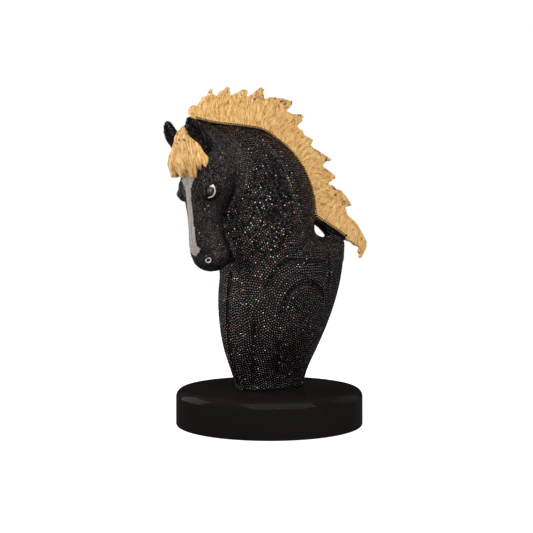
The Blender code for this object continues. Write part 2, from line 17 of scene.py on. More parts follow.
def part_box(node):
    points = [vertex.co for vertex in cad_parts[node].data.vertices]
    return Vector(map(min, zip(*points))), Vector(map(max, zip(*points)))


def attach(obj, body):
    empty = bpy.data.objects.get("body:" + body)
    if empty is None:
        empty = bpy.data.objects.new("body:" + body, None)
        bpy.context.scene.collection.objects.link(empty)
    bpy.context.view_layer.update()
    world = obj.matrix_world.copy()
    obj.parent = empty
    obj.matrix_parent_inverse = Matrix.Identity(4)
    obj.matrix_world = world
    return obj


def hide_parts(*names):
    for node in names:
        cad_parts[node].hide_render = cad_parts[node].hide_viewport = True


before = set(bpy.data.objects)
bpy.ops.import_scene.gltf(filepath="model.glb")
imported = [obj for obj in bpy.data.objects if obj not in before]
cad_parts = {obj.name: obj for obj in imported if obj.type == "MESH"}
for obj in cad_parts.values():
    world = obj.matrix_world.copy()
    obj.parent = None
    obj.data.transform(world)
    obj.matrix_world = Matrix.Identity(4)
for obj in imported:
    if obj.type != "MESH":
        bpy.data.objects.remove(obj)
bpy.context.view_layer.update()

bl_info = {
    "name": "Horse head figurine",
    "version": (1, 0, 0),
    "blender": (4, 5, 0),
    "location": "View3D > Sidebar > Figurine",
    "description": "Builds a stone-set horse head with a gold leaf mane on a plinth",
    "category": "Object",
}

PLINTH_LOW, PLINTH_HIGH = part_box("plinth")
# Where the lamps aim
LIT_MIDDLE = Vector((0, 0, 0.18))
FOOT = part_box("bust")[0].z
# One part in metres
PART = 0.001
SIDES = (1, -1)
# Steps to each stretch of a line that places are measured from
LINE_STEPS = 20
# Rounds of smoothing for the skin, and of evening out for the stones
SKIN_ROUNDS, STONE_ROUNDS = 12, 8

# Jaw line that parts the head's small stones from the neck's larger ones, as up and forward
JAW_LINE = ((120, 84), (124, 74), (127, 66), (132, 60.5), (139, 57), (147, 56), (156, 60), (166, 64),
            (182, 65), (195, 58), (208, 51), (221, 46), (236, 46), (250, 53), (262, 66), (271, 84),
            (280, 96))

# Carved lines on both sides: points, half width and depth (less than 0 is a ridge), and
# how wide a strip beside it stays free of stones
LINES = (
    (((54, 0, 121), (57, 0, 95), (56, 0, 65), (52, 0, 35), (41, 0, 6)), 1.7, 1.8, 0.3),
    (((37, 38, 108), (27, 44, 125), (15, 48, 135), (-3, 53, 136), (-36, 51, 134)), 1.6, 1.6, 0.6),
    (((-47, 45, 143), (-43, 50, 128), (-40, 51, 112)), 2.2, 1.2, 0.0),
    (((20, 45, 81), (16, 49, 98), (6, 53, 109), (-9, 55, 112), (-24, 54, 106), (-31, 51, 95)),
     1.6, 1.5, 0.6),
    (((45, 28, 70), (42, 24, 45), (35, 15, 7)), 2.8, 1.1, 0.0),
    (((19, 37, 48), (15, 32, 33), (10, 27, 17)), 2.8, 0.9, 0.0),
    (((26, 22, 263), (10, 30, 244), (-1, 36, 220), (-7, 40, 196), (-7, 41, 182)), 1.9, -1.6, 0.0),
    (((21, 25, 261), (5, 32, 242), (-6, 35, 219), (-12, 38, 196), (-12, 40, 182)), 2.2, 1.2, 0.0),
    (((36, 32, 235), (22, 37, 208), (17, 39, 190)), 2.2, -1.3, 0.0),
    (((31, 33, 233), (17, 37, 207), (12, 39, 190)), 2.4, 1.1, 0.0),
    (((39, 30, 186), (40, 31, 160)), 3.2, -1.0, 0.0),
    (((77, 20, 146), (76, 20, 136), (75, 12, 128)), 1.6, 1.6, 0.7),
)
# Nostril, half width and depth of its pit, radius of the white ring and steps round that
NOSTRIL = (88.4, 11.7, 137.7)
NOSTRIL_PIT = (1.3, 2.6)
NOSTRIL_RING = 2.2
RING_STEPS, BAND_STEPS = 24, 10
# Eye, and the white crescent and corner beside it
EYE_SPOT = (99.3, 27.9, 204.6)
EYE_BAND = 1.2
EYE_CRESCENT = ((95.5, 28.0, 208.7), (94.8, 28.6, 206.5), (94.7, 28.6, 203.8), (95.6, 27.4, 200.8),
                (97.2, 25.7, 199.3), (98.9, 23.6, 198.9))
EYE_CORNER = ((95.7, 27.2, 211.5), (99.2, 26.1, 208.8), (94.3, 28.4, 207.5))

# Cut stone, as shares of its pitch: radius, table's radius and depth of its seat
STONE_RADIUS = 0.53
TABLE_RADIUS = 0.58 * STONE_RADIUS
STONE_SEAT = 0.16
# How close two stones may stand, as a share of their pitch
CLOSEST = 0.84
# Number of a stone's facets, and the table's place among them
FACETS = 8
TABLE_FACE = 0

# Rows of stones along the crest: how far outside its line, and how far out from the mane
CREST_ROWS = ((0.5, 0.4), (-1.6, 0.5), (-3.6, 0.6), (-5.5, 0.4))
# The outermost row has smaller stones, and lies farther out on the bar to the withers
OUTER_ROW_SIZE = 0.64
BAR_LENGTH, BAR_REACH = 60, 0.5

# White blaze: half width by height, and how far its middle lies to the left
BLAZE = ((139.8, 0.0), (143.5, 5.5), (147, 10.6), (148.4, 10.4), (151.5, 7.4), (155, 6.9),
         (168, 5.8), (182, 5.0), (197, 3.9), (205, 4.3), (211, 6.2), (214.5, 9.0), (217.5, 12.4),
         (218.5, 12.4), (219.5, 8.0), (226, 8.0))
BLAZE_MIDDLE = -2.2

# Rows of stones start from these lines and some carved ones; the mane grows from the first
MANE_ROOT = ((103, 280), (82, 277.5), (60, 277), (36, 277), (12, 275.5), (-10, 266), (-28, 255.5),
             (-45, 239.5), (-57, 220), (-63, 202), (-65.5, 186.5), (-80, 179), (-98, 170.5),
             (-114, 162.5))
BACK_LINE = ((-114, 0, 158), (-104, 0, 140), (-86, 0, 104), (-70, 0, 66), (-52, 0, 26), (-45, 0, 2))
FACE_LINE = ((112, 0, 268), (114, 0, 250), (110, 0, 228), (106, 0, 208), (103.5, 0, 182),
             (100, 0, 156), (94, 0, 139), (84, 0, 126))

# Outer edge of the mane, as forward and up, from the poll over its tufts to the hooked tail
MANE_EDGE = (
    (104.2, 288.5), (99.9, 292.5), (97.1, 291), (94.8, 292), (90.9, 296.5), (88.7, 301.8),
    (81.7, 303.5), (81.3, 306.9), (77.6, 311.4), (76.5, 310.5), (77.8, 306), (74.5, 305.7),
    (71.6, 303.2), (64.6, 311), (61, 312), (56.8, 315.8), (54.5, 315.1), (53.8, 306.2),
    (35.6, 315.5), (30.6, 314.9), (31.9, 309.2), (29.9, 308), (12.1, 320.3), (7.5, 318.3),
    (9.5, 315.7), (7.6, 308.5), (-2.9, 311.5), (-10.7, 311.8), (-20, 311.8), (-32.4, 310.1),
    (-31.1, 305.7), (-22.8, 298.6), (-32.4, 296.1), (-45.3, 297.4), (-49, 295.4),
    (-46, 292.3), (-46.8, 290), (-40.9, 286.2), (-39.1, 282.6), (-47, 279.4), (-49.5, 274.6),
    (-62.7, 270.6), (-60.1, 264.3), (-62.2, 262.2), (-91.1, 251), (-90.9, 249.2),
    (-85, 248.6), (-77.5, 243.3), (-78.4, 241.7), (-96.9, 233.1), (-97.3, 229.4),
    (-87.5, 223.7), (-86.9, 222), (-94.8, 220.8), (-98.8, 217.8), (-107.6, 215.8),
    (-123.7, 201.1), (-123, 199.1), (-112.8, 197.3), (-117.7, 187.6), (-132, 179),
    (-148.7, 158.4), (-148.8, 152.8), (-147.1, 148.9), (-140.7, 139.5), (-138.7, 138.6),
    (-137.1, 140.1), (-138.4, 143.6), (-135.3, 145.7), (-137.8, 149.2), (-136.6, 152.1),
    (-129.1, 153.6), (-124.6, 157), (-118.1, 158.4),
)

# Forehead sections under the forelock: up, face, half width, widest place and roundness
FOREHEAD = (
    (208, 106, 25.5, 83, 2.2), (221, 108.5, 28, 81, 2.2), (236, 112, 28.5, 80, 2.2),
    (250, 114.5, 27, 82, 2.1), (262, 114.5, 23, 86, 2.0), (271, 111, 15, 92, 2.0),
    (276, 104, 7, 95, 2.0),
)
FORELOCK_TOP = 270.0
# Half spread of the forelock by height, and its hem by turn round the forehead, in degrees
FORELOCK_SPREAD = ((216, 57), (233, 57), (241.5, 51), (251.5, 43), (256, 32), (264, 19), (270, 7))
FORELOCK_HEM = ((-57, 236), (-50, 221), (-43, 231), (-34, 221), (-22, 231), (-10, 219), (-4.5, 227),
                (1, 220.5), (9, 228), (16.5, 218), (24, 218.5), (28, 232), (31.5, 226), (35, 231.5),
                (39.5, 225), (44, 231.5), (49, 228), (57, 238))
# Steps across and down the forelock
FORELOCK_GRID = (200, 80)
# How far the locks on its right stand off at the hem, and how far the outermost flick out
FORELOCK_LIFT = 7.0
FORELOCK_FLICK = 8.0


def rgb(red, green, blue):
    """A colour from eight-bit display values to linear light."""
    return tuple(((c / 255 + 0.055) / 1.055) ** 2.4 if c > 10 else c / 3294.6
                 for c in (red, green, blue))


class StoneSettings(bpy.types.PropertyGroup):
    """Stones and the skin that they are set on."""
    body_pitch: FloatProperty(name="Body pitch", description="Space from stone to stone on the body",
                              default=0.0028, unit="LENGTH")
    head_pitch: FloatProperty(name="Head pitch", description="Space from stone to stone on the head",
                              default=0.0021, unit="LENGTH")
    rise: FloatProperty(name="Rise", description="Height of a stone as a share of its pitch",
                        default=0.36)
    tilt: FloatProperty(name="Tilt", description="How unevenly the stones are seated",
                        default=math.radians(3.0), subtype="ANGLE")
    blaze_pitch: FloatProperty(name="Blaze pitch", description="Space from stone to stone on the blaze",
                               default=0.0020, unit="LENGTH")
    skin_grain: FloatProperty(name="Skin grain", description="Fineness of the skin under the stones",
                              default=0.0015, unit="LENGTH")
    seed: IntProperty(name="Seed", description="Start of the chance choices", default=11)
    black: FloatVectorProperty(name="Black", description="Colour of the black stones",
                               subtype="COLOR", default=(0.008, 0.0065, 0.0065))
    white: FloatVectorProperty(name="White", description="Colour of the clear white stones",
                               subtype="COLOR", default=(0.78, 0.70, 0.65))


class GoldSettings(bpy.types.PropertyGroup):
    """Gold leaf on the mane and forelock."""
    root_thickness: FloatProperty(name="Root thickness", description="Mane's thickness at the crest",
                                  default=0.0078, unit="LENGTH")
    tip_thickness: FloatProperty(name="Tip thickness", description="Mane's thickness at its tips",
                                 default=0.0022, unit="LENGTH")
    strand_depth: FloatProperty(name="Strand depth", description="Depth of the modelled strands",
                                default=0.0008, unit="LENGTH")
    grain: FloatProperty(name="Grain", description="Fineness of the gilded surfaces",
                         default=0.00085, unit="LENGTH")
    gold: FloatVectorProperty(name="Gold", description="Colour of the leaf", subtype="COLOR",
                              default=(0.92, 0.54, 0.18))
    bole: FloatVectorProperty(name="Bole", description="Dark ground that shows where leaf is torn",
                              subtype="COLOR", default=(0.17, 0.065, 0.03))


class PlinthSettings(bpy.types.PropertyGroup):
    """The turned and lacquered plinth."""
    top_edge: FloatProperty(name="Top edge", description="Radius of the rounded top edge",
                            default=0.0085, unit="LENGTH")
    bottom_edge: FloatProperty(name="Bottom edge", description="Radius of the bottom edge",
                               default=0.002, unit="LENGTH")
    segments: IntProperty(name="Segments", description="Steps round the plinth", default=192)
    lacquer: FloatVectorProperty(name="Lacquer", description="Colour of the lacquer",
                                 subtype="COLOR", default=(0.0098, 0.0070, 0.0068))


class StageSettings(bpy.types.PropertyGroup):
    """Floor, light and camera."""
    distance: FloatProperty(name="Camera distance", description="Camera to the figure's middle",
                            default=1.0, unit="LENGTH")
    turn: FloatProperty(name="Camera turn", description="Turn of the camera to the figure's left",
                        default=math.radians(50.0), subtype="ANGLE")
    key_power: FloatProperty(name="Key light", description="Power of the large soft light",
                             default=26.0, unit="POWER")
    rim_power: FloatProperty(name="Rim light", description="Power of the light from behind, left",
                             default=11.0, unit="POWER")
    spark_power: FloatProperty(name="Spark lights", description="Power of each small light",
                               default=0.35, unit="POWER")


def spot(forward, left, up):
    """A place on the figure in metres."""
    return Vector((left * PART, -forward * PART, FOOT + up * PART))


def waver(x, y, z):
    """Smooth noise at a place, between -1 and 1."""
    return noise.noise(Vector((x, y, z)))


def read_rows(rows, at):
    """Read a table smoothly at a value of its first column, as cubic Hermite pieces."""
    table = np.array(rows, dtype=float)
    keys = table[:, 0]
    slopes = np.gradient(table, keys, axis=0)
    at = min(max(at, keys[0]), keys[-1])
    i = int(min(np.searchsorted(keys, at, side="right") - 1, len(keys) - 2))
    span = keys[i + 1] - keys[i]
    t = (at - keys[i]) / span
    return ((2 * t ** 3 - 3 * t ** 2 + 1) * table[i] + (t ** 3 - 2 * t ** 2 + t) * span * slopes[i]
            + (3 * t ** 2 - 2 * t ** 3) * table[i + 1] + (t ** 3 - t ** 2) * span * slopes[i + 1])


def smooth_line(points, steps):
    """A smooth line through points, with a number of steps to each stretch."""
    rows = [(i, *point) for i, point in enumerate(points)]
    count = (len(points) - 1) * steps
    return [tuple(read_rows(rows, i / steps)[1:]) for i in range(count + 1)]


def add_object(name, data):
    """An object in the scene for some data."""
    made = bpy.data.objects.new(name, data)
    bpy.context.collection.objects.link(made)
    return made


def finish(mesh, name):
    """Turn a bmesh into an object with all faces outward."""
    bmesh.ops.recalc_face_normals(mesh, faces=mesh.faces)
    data = bpy.data.meshes.new(name)
    mesh.to_mesh(data)
    mesh.free()
    return add_object(name, data)


def settle(made):
    """Apply an object's modifiers to its mesh."""
    bpy.context.view_layer.update()
    seen = made.evaluated_get(bpy.context.evaluated_depsgraph_get())
    data = bpy.data.meshes.new_from_object(seen)
    made.modifiers.clear()
    old = made.data
    made.data = data
    bpy.data.meshes.remove(old)
    data.name = made.name


def fuse(made, grain):
    """Fuse the overlapping bodies of a mesh into one closed skin."""
    skin = made.modifiers.new("fuse", "REMESH")
    skin.mode = "VOXEL"
    skin.voxel_size = grain
    settle(made)


def relax(made, rounds):
    """Smooth a skin without shrinking it, by steps inward and outward in turn."""
    places = places_of(made)
    count = len(places)
    edges = np.empty(len(made.data.edges) * 2, dtype=np.int32)
    made.data.edges.foreach_get("vertices", edges)
    ends = np.concatenate([edges.reshape(-1, 2), edges.reshape(-1, 2)[:, ::-1]])
    degree = np.bincount(ends[:, 0], minlength=count)[:, None]
    for step in range(2 * rounds):
        factor = -0.53 if step % 2 else 0.5
        sums = [np.bincount(ends[:, 0], weights=places[ends[:, 1], axis], minlength=count)
                for axis in range(3)]
        places = places + factor * (np.stack(sums, axis=1) / degree - places)
    put_places(made, places)


def places_of(made):
    """An object's vertices as rows of numbers."""
    places = np.empty(len(made.data.vertices) * 3)
    made.data.vertices.foreach_get("co", places)
    return places.reshape(-1, 3)


def normals_of(made):
    """An object's vertex normals as rows of numbers."""
    normals = np.empty(len(made.data.vertices) * 3, dtype=np.float32)
    made.data.vertex_normals.foreach_get("vector", normals)
    return normals.reshape(-1, 3).astype(float)


def put_places(made, places):
    """Move an object's vertices."""
    made.data.vertices.foreach_set("co", places.ravel())
    made.data.update()


def mark(made, name, domain, values):
    """Store a number for each point or face of an object."""
    layer = made.data.attributes.new(name, "FLOAT", domain)
    layer.data.foreach_set("value", np.ravel(values).astype(np.float32))


def stations_of(line):
    """Distance along a line at each of its points."""
    steps = np.linalg.norm(np.diff(line, axis=0), axis=1)
    return np.concatenate(([0], np.cumsum(steps)))


def tree_of(places):
    """A search tree over places."""
    tree = KDTree(len(places))
    for i, place in enumerate(places):
        tree.insert(place, i)
    tree.balance()
    return tree


def gaps_to(targets, places):
    """How far each place lies from the nearest target."""
    tree = tree_of(targets)
    return np.array([tree.find(place)[2] for place in places])


def dress(made, material, slot, *nodes):
    """Give a finished piece its material, its ride and the CAD nodes it stands for."""
    made.data.materials.clear()
    made.data.materials.append(material)
    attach(made, "root")
    if nodes:
        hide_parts(*nodes)


def loft(mesh, rings):
    """Bridge a row of rings into one closed body."""
    loops = []
    for points in rings:
        verts = [mesh.verts.new(point) for point in points]
        loops.append([mesh.edges.new((a, b)) for a, b in zip(verts, verts[1:] + verts[:1])])
    for low, high in zip(loops, loops[1:]):
        bmesh.ops.bridge_loops(mesh, edges=low + high)
    for end in (loops[0], loops[-1]):
        bmesh.ops.edgeloop_fill(mesh, edges=end)


def line_on(skin, points, side, steps=14):
    """A line through points, laid on the skin."""
    return [skin.find_nearest(spot(f, side * l, u))[0] for f, l, u in smooth_line(points, steps)]


def mane_half():
    """Half the mane's thickness at its root, in parts."""
    return bpy.context.scene.figurine_gold.root_thickness / 2 / PART


def find_ground(context):
    """The skin that the stones and eyes are set on, and its search tree."""
    ground = bpy.data.objects.get("bust_skin")
    if ground is None:
        raise RuntimeError("make the skin first")
    return ground, BVHTree.FromObject(ground, context.evaluated_depsgraph_get())


def make_skin(settings):
    """The casting's skin: the CAD form made smooth, set back for the stones and carved."""
    mesh = bmesh.new()
    mesh.from_mesh(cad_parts["bust"].data)
    bmesh.ops.remove_doubles(mesh, verts=mesh.verts, dist=1e-6)
    made = finish(mesh, "bust_skin")
    fuse(made, settings.skin_grain)
    # The foot is drawn down before smoothing and cut off flat afterwards
    places = places_of(made)
    low = places[:, 2] < FOOT + settings.skin_grain
    places[low, 2] -= 4 * settings.skin_grain
    put_places(made, places)
    relax(made, SKIN_ROUNDS)
    set_back = 0.8 * settings.body_pitch * settings.rise
    put_places(made, places_of(made) - normals_of(made) * set_back)
    carve(made)
    mesh = bmesh.new()
    mesh.from_mesh(made.data)
    every = list(mesh.verts) + list(mesh.edges) + list(mesh.faces)
    split = bmesh.ops.bisect_plane(mesh, geom=every, dist=1e-7, plane_co=(0, 0, FOOT),
                                   plane_no=(0, 0, 1), clear_inner=True)
    rim = [item for item in split["geom_cut"] if isinstance(item, bmesh.types.BMEdge)]
    bmesh.ops.edgeloop_fill(mesh, edges=rim)
    bmesh.ops.triangulate(mesh, faces=[face for face in mesh.faces if len(face.verts) > 4])
    mesh.to_mesh(made.data)
    mesh.free()
    mark(made, "white", "POINT", blaze_depth(*figure_parts(places_of(made))))
    made.data.shade_smooth()
    return made


def blaze_depth(forward, left, up):
    """How far inside the white blaze places lie, in parts; less than 0 is outside."""
    half = np.interp(up, *zip(*BLAZE))
    return np.where((up > BLAZE[0][0]) & (up < BLAZE[-1][0]) & (forward > 88),
                    half - np.abs(left - BLAZE_MIDDLE), -9.0)


def carve(made):
    """Press the lines and nostrils into the skin, and raise its ridges."""
    skin = BVHTree.FromObject(made, bpy.context.evaluated_depsgraph_get())
    places, normals = places_of(made), normals_of(made)
    moved = np.zeros(len(places))
    marks = [(points, wide, depth) for points, wide, depth, _ in LINES]
    marks.append(((NOSTRIL, NOSTRIL), *NOSTRIL_PIT))
    for points, wide, depth in marks:
        for side in SIDES:
            gaps = gaps_to(line_on(skin, points, side, LINE_STEPS), places)
            press = depth * PART * np.exp(-(gaps / (wide * PART)) ** 2)
            moved = np.where(np.abs(press) > np.abs(moved), press, moved)
    put_places(made, places - normals * moved[:, None])


def spread_from(places, faces, starts):
    """Distance over the skin from starting vertices, by marching a front through faces."""
    far = [math.inf] * len(places)
    done = [False] * len(places)
    fans = [[] for _ in places]
    for a, b, c in faces.tolist():
        fans[a].append((b, c))
        fans[b].append((c, a))
        fans[c].append((a, b))
    spots = places.tolist()
    queue = []
    for vert, value in starts:
        if value < far[vert]:
            far[vert] = value
            heapq.heappush(queue, (value, vert))
    while queue:
        value, vert = heapq.heappop(queue)
        if done[vert]:
            continue
        done[vert] = True
        here = spots[vert]
        for pair in fans[vert]:
            for other, target in (pair, pair[::-1]):
                if done[target]:
                    continue
                goal = spots[target]
                px, py, pz = (goal[0] - here[0], goal[1] - here[1], goal[2] - here[2])
                direct = value + math.sqrt(px * px + py * py + pz * pz)
                if done[other]:
                    side = spots[other]
                    ex, ey, ez = (side[0] - here[0], side[1] - here[1], side[2] - here[2])
                    long = math.sqrt(ex * ex + ey * ey + ez * ez)
                    rise = (far[other] - value) / long if long else 2.0
                    if abs(rise) < 1.0:
                        along = (px * ex + py * ey + pz * ez) / long
                        off = math.sqrt(max(px * px + py * py + pz * pz - along * along, 0.0))
                        lean = math.sqrt(1.0 - rise * rise)
                        foot = along - off * rise / lean
                        if 0.0 <= foot <= long:
                            direct = min(direct, value + along * rise + off * lean)
                if direct < far[target]:
                    far[target] = direct
                    heapq.heappush(queue, (direct, target))
    return np.array(far)


def contours(field, faces, places, level):
    """Lines over the skin where a field has one value, as (places, closed)."""
    values = field[faces] - level
    with np.errstate(invalid="ignore"):
        crossing = (values.min(axis=1) < 0) & (values.max(axis=1) >= 0)
    crossing &= np.isfinite(values).all(axis=1)
    links, ends = {}, {}
    for face, value in zip(faces[crossing].tolist(), values[crossing].tolist()):
        pair = []
        for a, b in ((0, 1), (1, 2), (2, 0)):
            if (value[a] < 0) != (value[b] < 0):
                key = (min(face[a], face[b]), max(face[a], face[b]))
                if key not in ends:
                    share = value[a] / (value[a] - value[b])
                    ends[key] = places[face[a]] * (1 - share) + places[face[b]] * share
                pair.append(key)
        for key, other in (pair, pair[::-1]):
            links.setdefault(key, []).append(other)
    left = set(links)
    lines = []
    for start in [key for key, near in links.items() if len(near) == 1] + list(links):
        if start not in left:
            continue
        left.discard(start)
        chain = [start]
        while True:
            onward = [key for key in links[chain[-1]] if key in left]
            if not onward:
                break
            chain.append(onward[0])
            left.discard(onward[0])
        closed = len(chain) > 2 and chain[0] in links[chain[-1]]
        lines.append((np.array([ends[key] for key in chain + chain[:1] * closed]), closed))
    return lines


def space_out(line, closed, pitch, shift):
    """Places at even steps along a line."""
    lengths = stations_of(line)
    count = int(round(lengths[-1] / pitch))
    if count < 1:
        return np.empty((0, 3))
    stations = (np.arange(count) + shift) * (lengths[-1] / count)
    if closed:
        stations = stations % lengths[-1]
    else:
        stations = stations[stations < lengths[-1]]
    return np.stack([np.interp(stations, lengths, line[:, axis]) for axis in range(3)], axis=1)


def thin(places, spaces):
    """Which places stay when each keeps its space, the first ones first."""
    tree = tree_of(places)
    kept = np.ones(len(places), dtype=bool)
    for i, place in enumerate(places):
        if kept[i]:
            for _, other, _ in tree.find_range(place, spaces[i]):
                if other > i:
                    kept[other] = False
    return kept


def fill_holes(places, spaces, spare, spare_spaces):
    """More places where the spare ones lie farther off than their space allows."""
    gaps = gaps_to(places, spare)
    ragged = np.nonzero(gaps > 0.95 * spare_spaces)[0]
    order = ragged[np.argsort(-gaps[ragged])]
    extra = order[thin(spare[order], 0.9 * spare_spaces[order])]
    return np.concatenate([places, spare[extra]]), np.concatenate([spaces, spare_spaces[extra]])


def even_out(places, spaces, skin, rounds):
    """Let the stones push each other into an even pattern on the skin."""
    for _ in range(rounds):
        tree = tree_of(places)
        near = np.array([[item[1] for item in tree.find_n(place, 7)] for place in places])
        away = places[:, None, :] - places[near]
        gaps = np.linalg.norm(away, axis=2)
        wish = (spaces[:, None] + spaces[near]) / 2
        push = np.where(gaps > 0, np.clip(wish - gaps, 0, None), 0)
        step = (away / np.maximum(gaps, 1e-9)[..., None] * push[..., None]).sum(axis=1) * 0.4
        length = np.linalg.norm(step, axis=1)
        step *= np.minimum(1, 0.25 * spaces / np.maximum(length, 1e-12))[:, None]
        places = np.array([skin.find_nearest(place)[0][:] for place in places + step])
    return places


def in_head(forward, up):
    """Whether places lie in the head, forward of the jaw line."""
    jaw = np.interp(up, *zip(*JAW_LINE))
    return (forward > jaw) & (up > JAW_LINE[0][0])


def figure_parts(places):
    """Forward, left and up of places, in parts."""
    return -places[:, 1] / PART, places[:, 0] / PART, (places[:, 2] - FOOT) / PART


def lay_stones(made, skin, settings):
    """Centres and outward directions of all the stones, and the pitch at each."""
    mesh = bmesh.new()
    mesh.from_mesh(made.data)
    bmesh.ops.triangulate(mesh, faces=mesh.faces)
    faces = np.array([[vert.index for vert in face.verts] for face in mesh.faces])
    mesh.free()
    places = places_of(made)
    forward, left, up = figure_parts(places)
    head = in_head(forward, up)
    depth = blaze_depth(forward, left, up)
    blaze = depth > 0
    crest = [(f, mane_half() + 1.1, u - 0.6) for f, u in MANE_ROOT]
    body_lines = [line_on(skin, line, 1) for line in (BACK_LINE, LINES[0][0])]
    for side in SIDES:
        body_lines += [line_on(skin, line, side) for line in (
            crest, LINES[1][0], LINES[3][0], LINES[6][0], LINES[8][0])]
    head_lines = [line_on(skin, FACE_LINE, 1)]
    found, spaces = [], []
    for lines, region, pitch in ((body_lines, ~head, settings.body_pitch),
                                 (head_lines, head & ~blaze, settings.head_pitch),
                                 (head_lines, depth > -1.5, settings.blaze_pitch)):
        gaps = gaps_to([place for line in lines for place in line], places)
        near = 2.5 * settings.skin_grain
        starts = [(i, gap) for i, gap in enumerate(gaps.tolist()) if gap < near]
        field = spread_from(places, faces, starts)
        field[~region] = math.inf
        row = pitch * math.sqrt(0.75)
        top = field[np.isfinite(field)].max()
        for k in range(int(top / row) + 1):
            for line, closed in contours(field, faces, places, (k + 0.08) * row):
                some = space_out(line, closed, pitch, 0.5 * (k % 2))
                inside = blaze_depth(*figure_parts(some)) > 0
                some = some[inside if pitch == settings.blaze_pitch else ~inside]
                found.append(some)
                spaces.append(np.full(len(some), pitch))
    found, spaces = np.concatenate(found), np.concatenate(spaces)
    kept = thin(found, CLOSEST * spaces)
    spare_spaces = np.where(blaze, settings.blaze_pitch,
                            np.where(head, settings.head_pitch, settings.body_pitch))
    found, spaces = fill_holes(found[kept], spaces[kept], places, spare_spaces)
    found = even_out(found, spaces, skin, STONE_ROUNDS)
    kept = thin(found, CLOSEST * spaces) & clear_of(found, spaces, skin)
    found, spaces = found[kept], spaces[kept]
    normals = np.array([skin.find_nearest(place)[1][:] for place in found])
    return found, normals, spaces


def crest_rows(pitch):
    """Places and directions of the rows of stones that edge the crest against the gold."""
    root = np.array(smooth_line(MANE_ROOT, 12))
    lengths = stations_of(root)
    places, normals = [], []
    for row, (off, width) in enumerate(CREST_ROWS):
        for station in np.arange(4.0 + 0.5 * row * pitch / PART, lengths[-1] - 3.0, pitch / PART):
            forward, up = (np.interp(station, lengths, root[:, axis]) for axis in range(2))
            ahead, top = (np.interp(station + 1.0, lengths, root[:, axis]) for axis in range(2))
            out = Vector((top - up, forward - ahead)).normalized()
            reach = off + BAR_REACH * (row == 0 and station > lengths[-1] - BAR_LENGTH)
            for side in SIDES:
                places.append(spot(forward + reach * out.x, side * (mane_half() + width),
                                   up + reach * out.y)[:])
                normals.append(Vector((side * 0.85, -0.5 * out.x, 0.5 * out.y)).normalized()[:])
    return np.array(places), np.array(normals)


def crest_gaps(forward, up):
    """How far places lie from the crest's line, seen from the side, in parts."""
    root = np.array(smooth_line(MANE_ROOT, 10))
    return np.min(np.hypot(forward[:, None] - root[:, 0], up[:, None] - root[:, 1]), axis=1)


def clear_of(places, spaces, skin):
    """Which stones are clear of the carved lines, eyes, nostrils, mane and foot."""
    forward, left, up = figure_parts(places)
    free = up * PART > 0.45 * spaces
    free &= (crest_gaps(forward, up) > 6.5) | (
        np.abs(left) * PART > mane_half() * PART + 0.20 * spaces)
    for points, _, _, strip in LINES:
        if strip:
            for side in SIDES:
                free &= gaps_to(line_on(skin, points, side, LINE_STEPS), places) > strip * PART
    for (ahead, aside, above), radius in ((EYE_SPOT, 4.6), (NOSTRIL, 3.3)):
        for side in SIDES:
            middle = np.array(spot(ahead, side * aside, above))
            free &= np.linalg.norm(places - middle, axis=1) > radius * PART
    return free


def stone_shape(rise):
    """One cut stone of unit pitch: a six-sided crown under a table, as corners and faces."""
    mesh = bmesh.new()
    bmesh.ops.create_cone(mesh, cap_ends=True, cap_tris=False, segments=6, radius1=STONE_RADIUS,
                          radius2=TABLE_RADIUS, depth=rise + STONE_SEAT)
    bmesh.ops.translate(mesh, verts=mesh.verts, vec=(0, 0, (rise - STONE_SEAT) / 2))
    mesh.faces.sort(key=lambda face: -face.calc_center_median().z)
    corners = np.array([vert.co[:] for vert in mesh.verts])
    faces = [[vert.index for vert in face.verts] for face in mesh.faces]
    mesh.free()
    return corners, faces


def throat_share(forward, up):
    """How near places lie to the middle of the throat, from 0 to 1."""
    return np.exp(-((forward - 28) / 26) ** 2 - ((up - 185) / 45) ** 2)


def choose_painted_flashes(forward, up, head, rng):
    """Which stones get a painted white, red or amber flash: most on the neck and the front of the
    chest.
    """
    count = len(forward)
    lively = np.clip((forward + 75) / 90, 0.12, 1.0) * np.where(up < 60, 0.6, 1.0)
    lively = np.where(head, 0.16, lively)
    cluster = np.array([waver(f * 0.09, u * 0.09, 2.0)
                        for f, u in zip(forward.tolist(), up.tolist())])
    chance = rng.uniform(0, 1, count)
    throat = throat_share(forward, up)
    # Chance of a painted white flash on each stone, more on the throat
    white = np.where(head, 0.02, 0.008 + 0.05 * lively + 0.08 * throat)
    white *= np.clip(1.0 + 1.6 * cluster, 0.3, 2.2)
    kinds = np.zeros(count, dtype=int)
    kinds[chance < white] = 1
    kinds[chance > 1 - 0.045 * lively] = 2
    kinds[chance > 1 - 0.006 * lively] = 3
    return kinds


def painted_light_on_lines(places, skin):
    """Painted highlight on stones along a raised line, and painted shade on stones in a soft groove."""
    shine = np.zeros(len(places))
    for points, _, depth, strip in LINES:
        if not strip:
            for side in SIDES:
                gaps = gaps_to(line_on(skin, points, side, LINE_STEPS), places)
                near = np.exp(-(gaps / (1.5 * PART)) ** 2) * min(1.0, -depth)
                shine = np.where(np.abs(near) > np.abs(shine), near, shine)
    return shine


def painted_glint_level(forward, up, head):
    """Painted glint of the plain stones by place, and how far it varies."""
    # The head is painted lighter than the body, its front and the throat in painted shade
    face = np.clip((forward - 80) / 20, 0, 1)
    level = np.where(head, 0.47 - 0.08 * face, 0.43 - 0.14 * throat_share(forward, up))
    # Stones beside the mane are painted darker, to dim the gold's reflection in them
    painted_dark_beside_mane = np.exp(-(crest_gaps(forward, up) / 9) ** 2)
    return level - 0.12 * painted_dark_beside_mane, np.where(up > 140, 0.14, 0.08)


